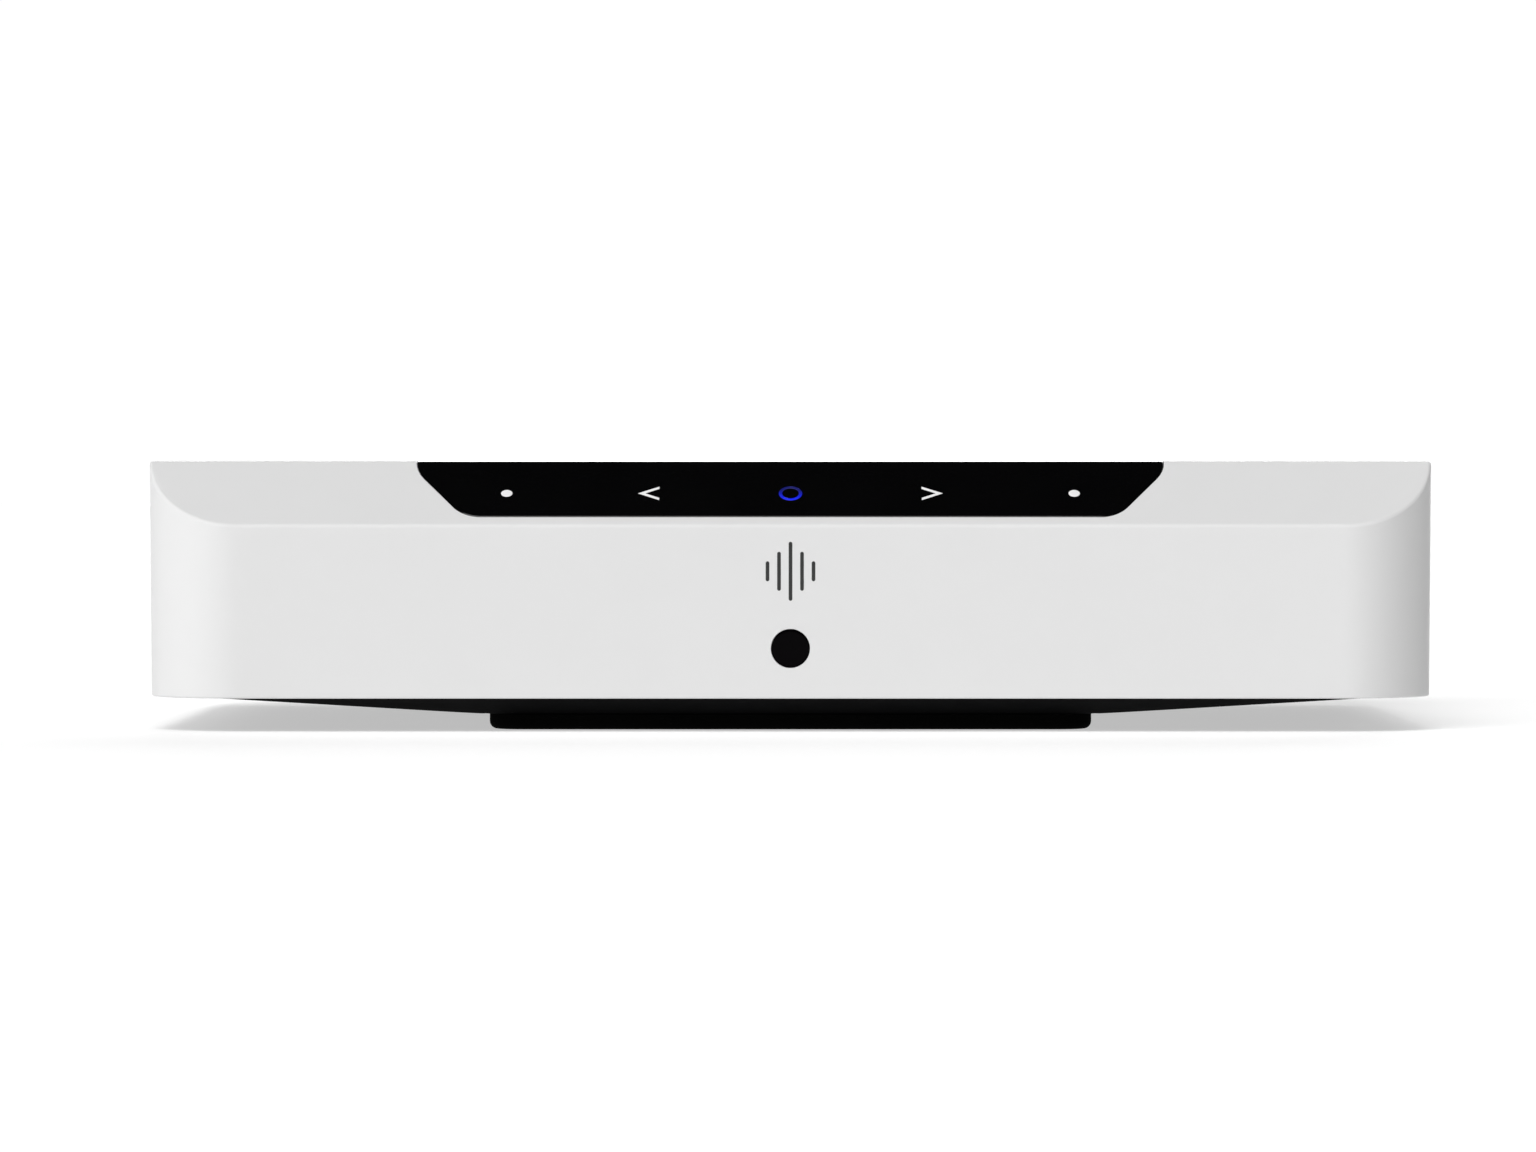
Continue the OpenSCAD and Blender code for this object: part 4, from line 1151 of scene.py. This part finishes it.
def make_network_wires(middle, ceiling):
    """Eight sprung wires that come down from the mouth's ceiling."""
    low, high, _ = spot("network_contacts")
    path = [(low.y, ceiling - 0.15 * MM), (low.y + 1.2 * MM, ceiling - 0.35 * MM),
            (high.y - 1.0 * MM, ceiling - 1.6 * MM), (high.y - 0.4 * MM, ceiling - 1.62 * MM),
            (high.y, ceiling - 1.35 * MM)]
    first, pitch = middle - 3.37 * MM, 1.02 * MM
    wires = [bent_strip("wire", first + pitch * i, path, 0.13 * MM, 0.4 * MM, 0.05 * MM) for i in range(8)]
    finish_piece(join("network_contact_wires", wires), "gold_plate", "network_contacts")


def make_usb_socket():
    """Metal shield with two springs, a white tongue and its four contacts."""
    place, size = face_of("usb_socket")
    centre, bottom = place.origin, spot("usb_socket")[0].z
    sheet = 0.35 * MM
    mouth = Pocket(rectangle(0, 0, size.x - 2 * sheet, size.z - 2 * sheet, 0.3 * MM), size.y - 4 * MM,
                   lip=0.15 * MM)
    shell = carved("usb_shield", place, rectangle(0, 0, size.x, size.z, 0.6 * MM), size.y, [mouth],
                   edge=0.15 * MM)
    bend = in_mm([(-9, 0.45), (-5, 0.85), (-3.4, 0.9), (-2.2, 0.5)])
    path = [(centre.y + y, bottom + z) for y, z in bend]
    springs = [bent_strip("spring", centre.x + x * MM, path, 0.12 * MM, 2.2 * MM, 0.04 * MM)
               for x in (-1.9, 4.1)]
    finish_piece(join("usb_shield", [shell] + springs), "tinplate", "usb_socket")
    place, size = face_of("usb_tongue")
    bar = carved("usb_tongue_bar", place, rectangle(0, 0, size.x, size.z, 0.4 * MM), size.y, edge=0.2 * MM)
    finish_piece(bar, "tongue_white", "usb_tongue")
    tip, under = place.origin, spot("usb_tongue")[0].z
    below = Place((tip.x, tip.y - 4.2 * MM, under - 0.04 * MM), X, -Y)
    outlines = [rectangle(u * MM, 0, 1.0 * MM, 6.4 * MM, 0.15 * MM) for u in (-3.5, -1, 1, 3.5)]
    pads = [carved("pad", below, outline, 0.2 * MM, edge=0.04 * MM) for outline in outlines]
    finish_piece(join("usb_contacts", pads), "gold_plate")


def make_optical_parts():
    """The shutter, with its barrel and trunnions, on its own body, and the emitter's lens."""
    low, high, centre = spot("optical_shutter")
    barrel_r, pin_r = 0.72 * MM, 0.6 * MM
    hinge_y, hinge_z = low.y + barrel_r, high.z - barrel_r
    flap_w, flap_h, flap_t = 8.2 * MM, hinge_z - low.z, 0.8 * MM
    place = behind(centre.x, hinge_y + flap_t / 2, low.z + flap_h / 2)
    field = rectangle(0, -0.2 * MM, flap_w - 2.2 * MM, flap_h - 2.6 * MM, 0.6 * MM)
    flap = carved("flap", place, rectangle(0, 0, flap_w, flap_h, 0.35 * MM), flap_t,
                  [Pocket(field, 0.2 * MM, lip=0.12 * MM)], edge=0.15 * MM, back_edge=0.15 * MM)
    half, reach = flap_w / 2, (high.x - low.x) / 2
    profile = [(0, -reach), (pin_r, -reach), (pin_r, -half), (barrel_r, -half),
               (barrel_r, half), (pin_r, half), (pin_r, reach), (0, reach)]
    barrel = lathe("barrel", Place((centre.x, hinge_y, hinge_z), Y, Z), profile, 32)
    finish_piece(join("optical_shutter_flap", [flap, barrel]), "socket_black", "optical_shutter", "shutter")
    place, size = face_of("optical_emitter")
    r, crown = 1.55 * MM, 0.5 * MM
    dome = [(r * k / 6, -crown * (k / 6) ** 2) for k in range(7)]
    lens = lathe("optical_emitter_lens", place, dome + [(r, -size.y), (0, -size.y)], 32)
    finish_piece(lens, "emitter_red", "optical_emitter")


def make_jack(name, slot):
    """One phono jack: plated collar with a flange, and the coloured insulator inside it."""
    node = name + "_jack_collar"
    place, size = face_of(node)
    face = PANEL_FACE - place.origin.y
    r, bore, flange, end = JACK_R, JACK_R - JACK_WALL, size.z / 2, -size.y
    neck, seat, step = r - 0.15 * MM, face + 0.02 * MM, face + 1.0 * MM
    profile = [(r - 0.45 * MM, 0), (r - 0.12 * MM, -0.12 * MM), (r, -0.45 * MM), (r, face + 1.25 * MM),
               (neck, face + 1.2 * MM), (neck, step), (flange - 0.3 * MM, step),
               (flange - 0.05 * MM, face + 0.85 * MM), (flange, face + 0.6 * MM), (flange, seat), (r, seat),
               (r, end), (bore, end), (bore, -0.3 * MM), (bore + 0.1 * MM, -0.08 * MM)]
    finish_piece(lathe(name + "_jack_ring", place, profile, 64), "gold_plate", node)
    node = name + "_jack_insulator"
    place, size = face_of(node)
    r, bore, end = bore - 0.03 * MM, 2.03 * MM, -size.y
    profile = [(r - 0.35 * MM, 0), (r - 0.1 * MM, -0.1 * MM), (r, -0.35 * MM), (r, end), (bore, end),
               (bore, -0.3 * MM), (bore + 0.3 * MM, -0.02 * MM), (bore + 0.5 * MM, 0)]
    finish_piece(lathe(name + "_jack_core", place, profile, 64), slot, node)


def make_jack_contacts():
    """Sprung centre contacts: a solid root, and four leaves that close in slightly at the mouth."""
    low, high, _ = spot("jack_contacts")
    end, slit, quarter = low.y - high.y, 0.11, math.pi / 2
    root = [(0, end + 2 * MM), (1.65 * MM, end + 2 * MM), (1.65 * MM, -5 * MM), (2 * MM, -5 * MM),
            (2 * MM, end), (0, end)]
    leaf = in_mm([(1.65, -5), (1.62, -0.5), (1.7, -0.1), (1.85, 0), (1.96, -0.15), (2, -0.5), (2, -5)])
    pieces = []
    for name in JACKS:
        centre = spot(name + "_jack_collar")[2]
        place = behind(centre.x, high.y, centre.z)
        pieces.append(lathe("root", place, root, 32))
        pieces += [lathe("leaf", place, leaf, 10, sweep=(quarter * i + slit, quarter * (i + 1) - slit))
                   for i in range(4)]
    finish_piece(join("jack_centre_contacts", pieces), "gold_plate", "jack_contacts")


def make_mini_jack(name):
    """Small stereo socket: a box behind the panel, and a round nose with a chamfered bore."""
    low, high, centre = spot(name)
    place = behind(centre.x, high.y, MINI_Z)
    r, bore, end = MINI_NOSE_R, MINI_BORE_R, -13 * MM
    profile = [(bore + 0.55 * MM, 0), (r - 0.3 * MM, 0), (r - 0.08 * MM, -0.1 * MM), (r, -0.35 * MM),
               (r, PANEL_INNER - high.y), (r, end), (0, end), (0, end + 0.1 * MM), (bore, end + 0.1 * MM),
               (bore, -0.5 * MM), (bore + 0.12 * MM, -0.35 * MM), (bore + 0.45 * MM, -0.1 * MM)]
    nose = lathe("nose", place, profile)
    box = carved("box", behind(centre.x, PANEL_INNER, centre.z),
                 rectangle(0, 0, high.x - low.x, high.z - low.z, 0.3 * MM), PANEL_INNER - low.y,
                 [Pocket(circle(0, MINI_Z - centre.z, r), 12 * MM)])
    finish_piece(join(name + "_body", [nose, box]), "socket_black", name)
    ring = [(bore, -0.45 * MM), (bore + 0.1 * MM, -0.33 * MM), (bore + 0.4 * MM, -0.06 * MM),
            (bore, -0.8 * MM)]
    finish_piece(lathe(name + "_sleeve", place, ring), "tinplate")


def make_reset_button():
    """Slightly dished button with a flange behind the panel and a plunger on the switch."""
    place, size = face_of("reset_button")
    r, flange, plunger = 1.5 * MM, 2.3 * MM, 1.0 * MM
    shoulder = PANEL_INNER - 0.15 * MM - place.origin.y
    dish = in_mm([(0, -0.12), (0.7, -0.1), (1.0, 0), (1.25, -0.04), (1.44, -0.15), (1.5, -0.35)])
    profile = dish + [(r, shoulder), (flange, shoulder), (flange, shoulder - 1 * MM),
                      (plunger, shoulder - 1 * MM), (plunger, -size.y), (0, -size.y)]
    finish_piece(lathe("reset_button_cap", place, profile), "button_grey", "reset_button", "reset_key")


def make_rear():
    make_rear_panel()
    make_mains_inlet()
    make_network_socket()
    make_usb_socket()
    make_optical_parts()
    for name, slot in zip(JACKS, JACK_COLOURS):
        make_jack(name, slot)
    make_jack_contacts()
    for name in MINI_JACKS:
        make_mini_jack(name)
    make_reset_button()


# ---------------------------------------------------------------- camera, light and floor
def make_camera():
    """Level view at the height of the top face, from 1.16 m in front, with a long lens."""
    data = bpy.data.cameras.new("camera")
    data.sensor_width = 36
    distance = 1.16
    data.lens = 160.40625
    data.shift_x = -0.01465
    data.shift_y = -0.0745
    data.clip_start = 0.01
    data.clip_end = 50
    camera = bpy.data.objects.new("camera", data)
    camera.location = (0, FRONT_Y - distance, TOP_Z - 0.1 * MM)
    camera.rotation_euler = (math.pi / 2, 0, 0)
    bpy.context.scene.collection.objects.link(camera)
    bpy.context.scene.camera = camera


def make_world():
    """Pale studio: bright round the horizon, darker to the right, with a dark ceiling."""
    world = bpy.data.worlds.new("studio")
    world.use_nodes = True
    tree = world.node_tree
    background = tree.nodes["Background"]
    place = tree.nodes.new("ShaderNodeTexCoord")
    split = tree.nodes.new("ShaderNodeSeparateXYZ")
    ramp = tree.nodes.new("ShaderNodeValToRGB")
    stops = [(0.0, 1.0), (0.07, 1.0), (0.14, 0.0)]
    while len(ramp.color_ramp.elements) < len(stops):
        ramp.color_ramp.elements.new(0.5)
    for element, (at, level) in zip(ramp.color_ramp.elements, stops):
        element.position = at
        element.color = (level, level, level, 1)
    side = tree.nodes.new("ShaderNodeMapRange")
    for socket, value in (("From Min", 0.12), ("From Max", 0.4), ("To Min", 1.02), ("To Max", 0.1)):
        side.inputs[socket].default_value = value
    tree.links.new(place.outputs["Generated"], split.inputs["Vector"])
    tree.links.new(split.outputs["Z"], ramp.inputs["Fac"])
    tree.links.new(split.outputs["X"], side.inputs["Value"])
    tree.links.new(ramp.outputs["Color"], background.inputs["Color"])
    tree.links.new(side.outputs["Result"], background.inputs["Strength"])
    bpy.context.scene.world = world


def make_lamp(name, toward, angle, power):
    """A large far-off soft box, as a sun with a wide disc."""
    data = bpy.data.lights.new(name, "SUN")
    data.angle = math.radians(angle)
    data.energy = power
    light = bpy.data.objects.new(name, data)
    light.rotation_euler = Vector(toward).to_track_quat("Z", "Y").to_euler()
    bpy.context.scene.collection.objects.link(light)


def make_floor():
    """Pale seamless floor under the rubber foot."""
    m = Maker()
    half = 6.0
    m.faces.append(tuple(m.ring([(-half, -half, 0), (half, -half, 0), (half, half, 0), (-half, half, 0)])))
    floor = m.build("floor", closed=False)
    s = Shader("floor")
    s.tint(s.noise(0.4, 2.0), (0.55, 0.55, 0.55), (0.56, 0.56, 0.56))
    s.gloss(s.noise(0.2, 2.0), 0.85, 0.95)
    s.set("Specular IOR Level", 0.0)
    s.set("Emission Color", (1, 1, 1, 1))
    s.set("Emission Strength", 0.50)
    floor.data.materials.append(s.material)


def make_studio():
    """Soft light from the front, the left and behind, on a pale floor."""
    bpy.context.scene.view_settings.view_transform = "Standard"
    make_camera()
    make_world()
    make_lamp("front_lamp", (-0.3, -0.8, 1.25), 40, 2.25)
    make_lamp("left_lamp", (-1.2, -0.75, 0.6), 35, 0.95)
    make_lamp("back_lamp", (0.2, 1.3, 0.45), 40, 2.6)
    make_floor()


# ---------------------------------------------------------------- CAD pieces that keep their shape
def dress_node(name, slot):
    """Gives a carried-over CAD node its material and fine broken edges."""
    node = frame["nodes"][name]
    node.data.materials.clear()
    node.data.materials.append(slot_material(slot))
    weld = node.modifiers.new("weld", "WELD")
    weld.merge_threshold = 0.0005 * MM
    bevel = node.modifiers.new("broken_edges", "BEVEL")
    bevel.width = 0.08 * MM
    bevel.segments = 2
    bevel.limit_method = "ANGLE"
    bevel.angle_limit = math.radians(40)
    bevel.harden_normals = True


def dress_all():
    """Dresses every CAD node that no piece above replaces."""
    for part in frame["record"]["subparts"]:
        node = frame["nodes"][part["node"]]
        if not node.hide_render:
            dress_node(part["node"], part["material_slot"])


def main():
    make_studio()
    make_shell()
    make_touch_panel()
    make_symbols()
    make_lens()
    make_front_mark()
    make_underside()
    make_foot()
    make_screws()
    make_rear()
    dress_all()


main()
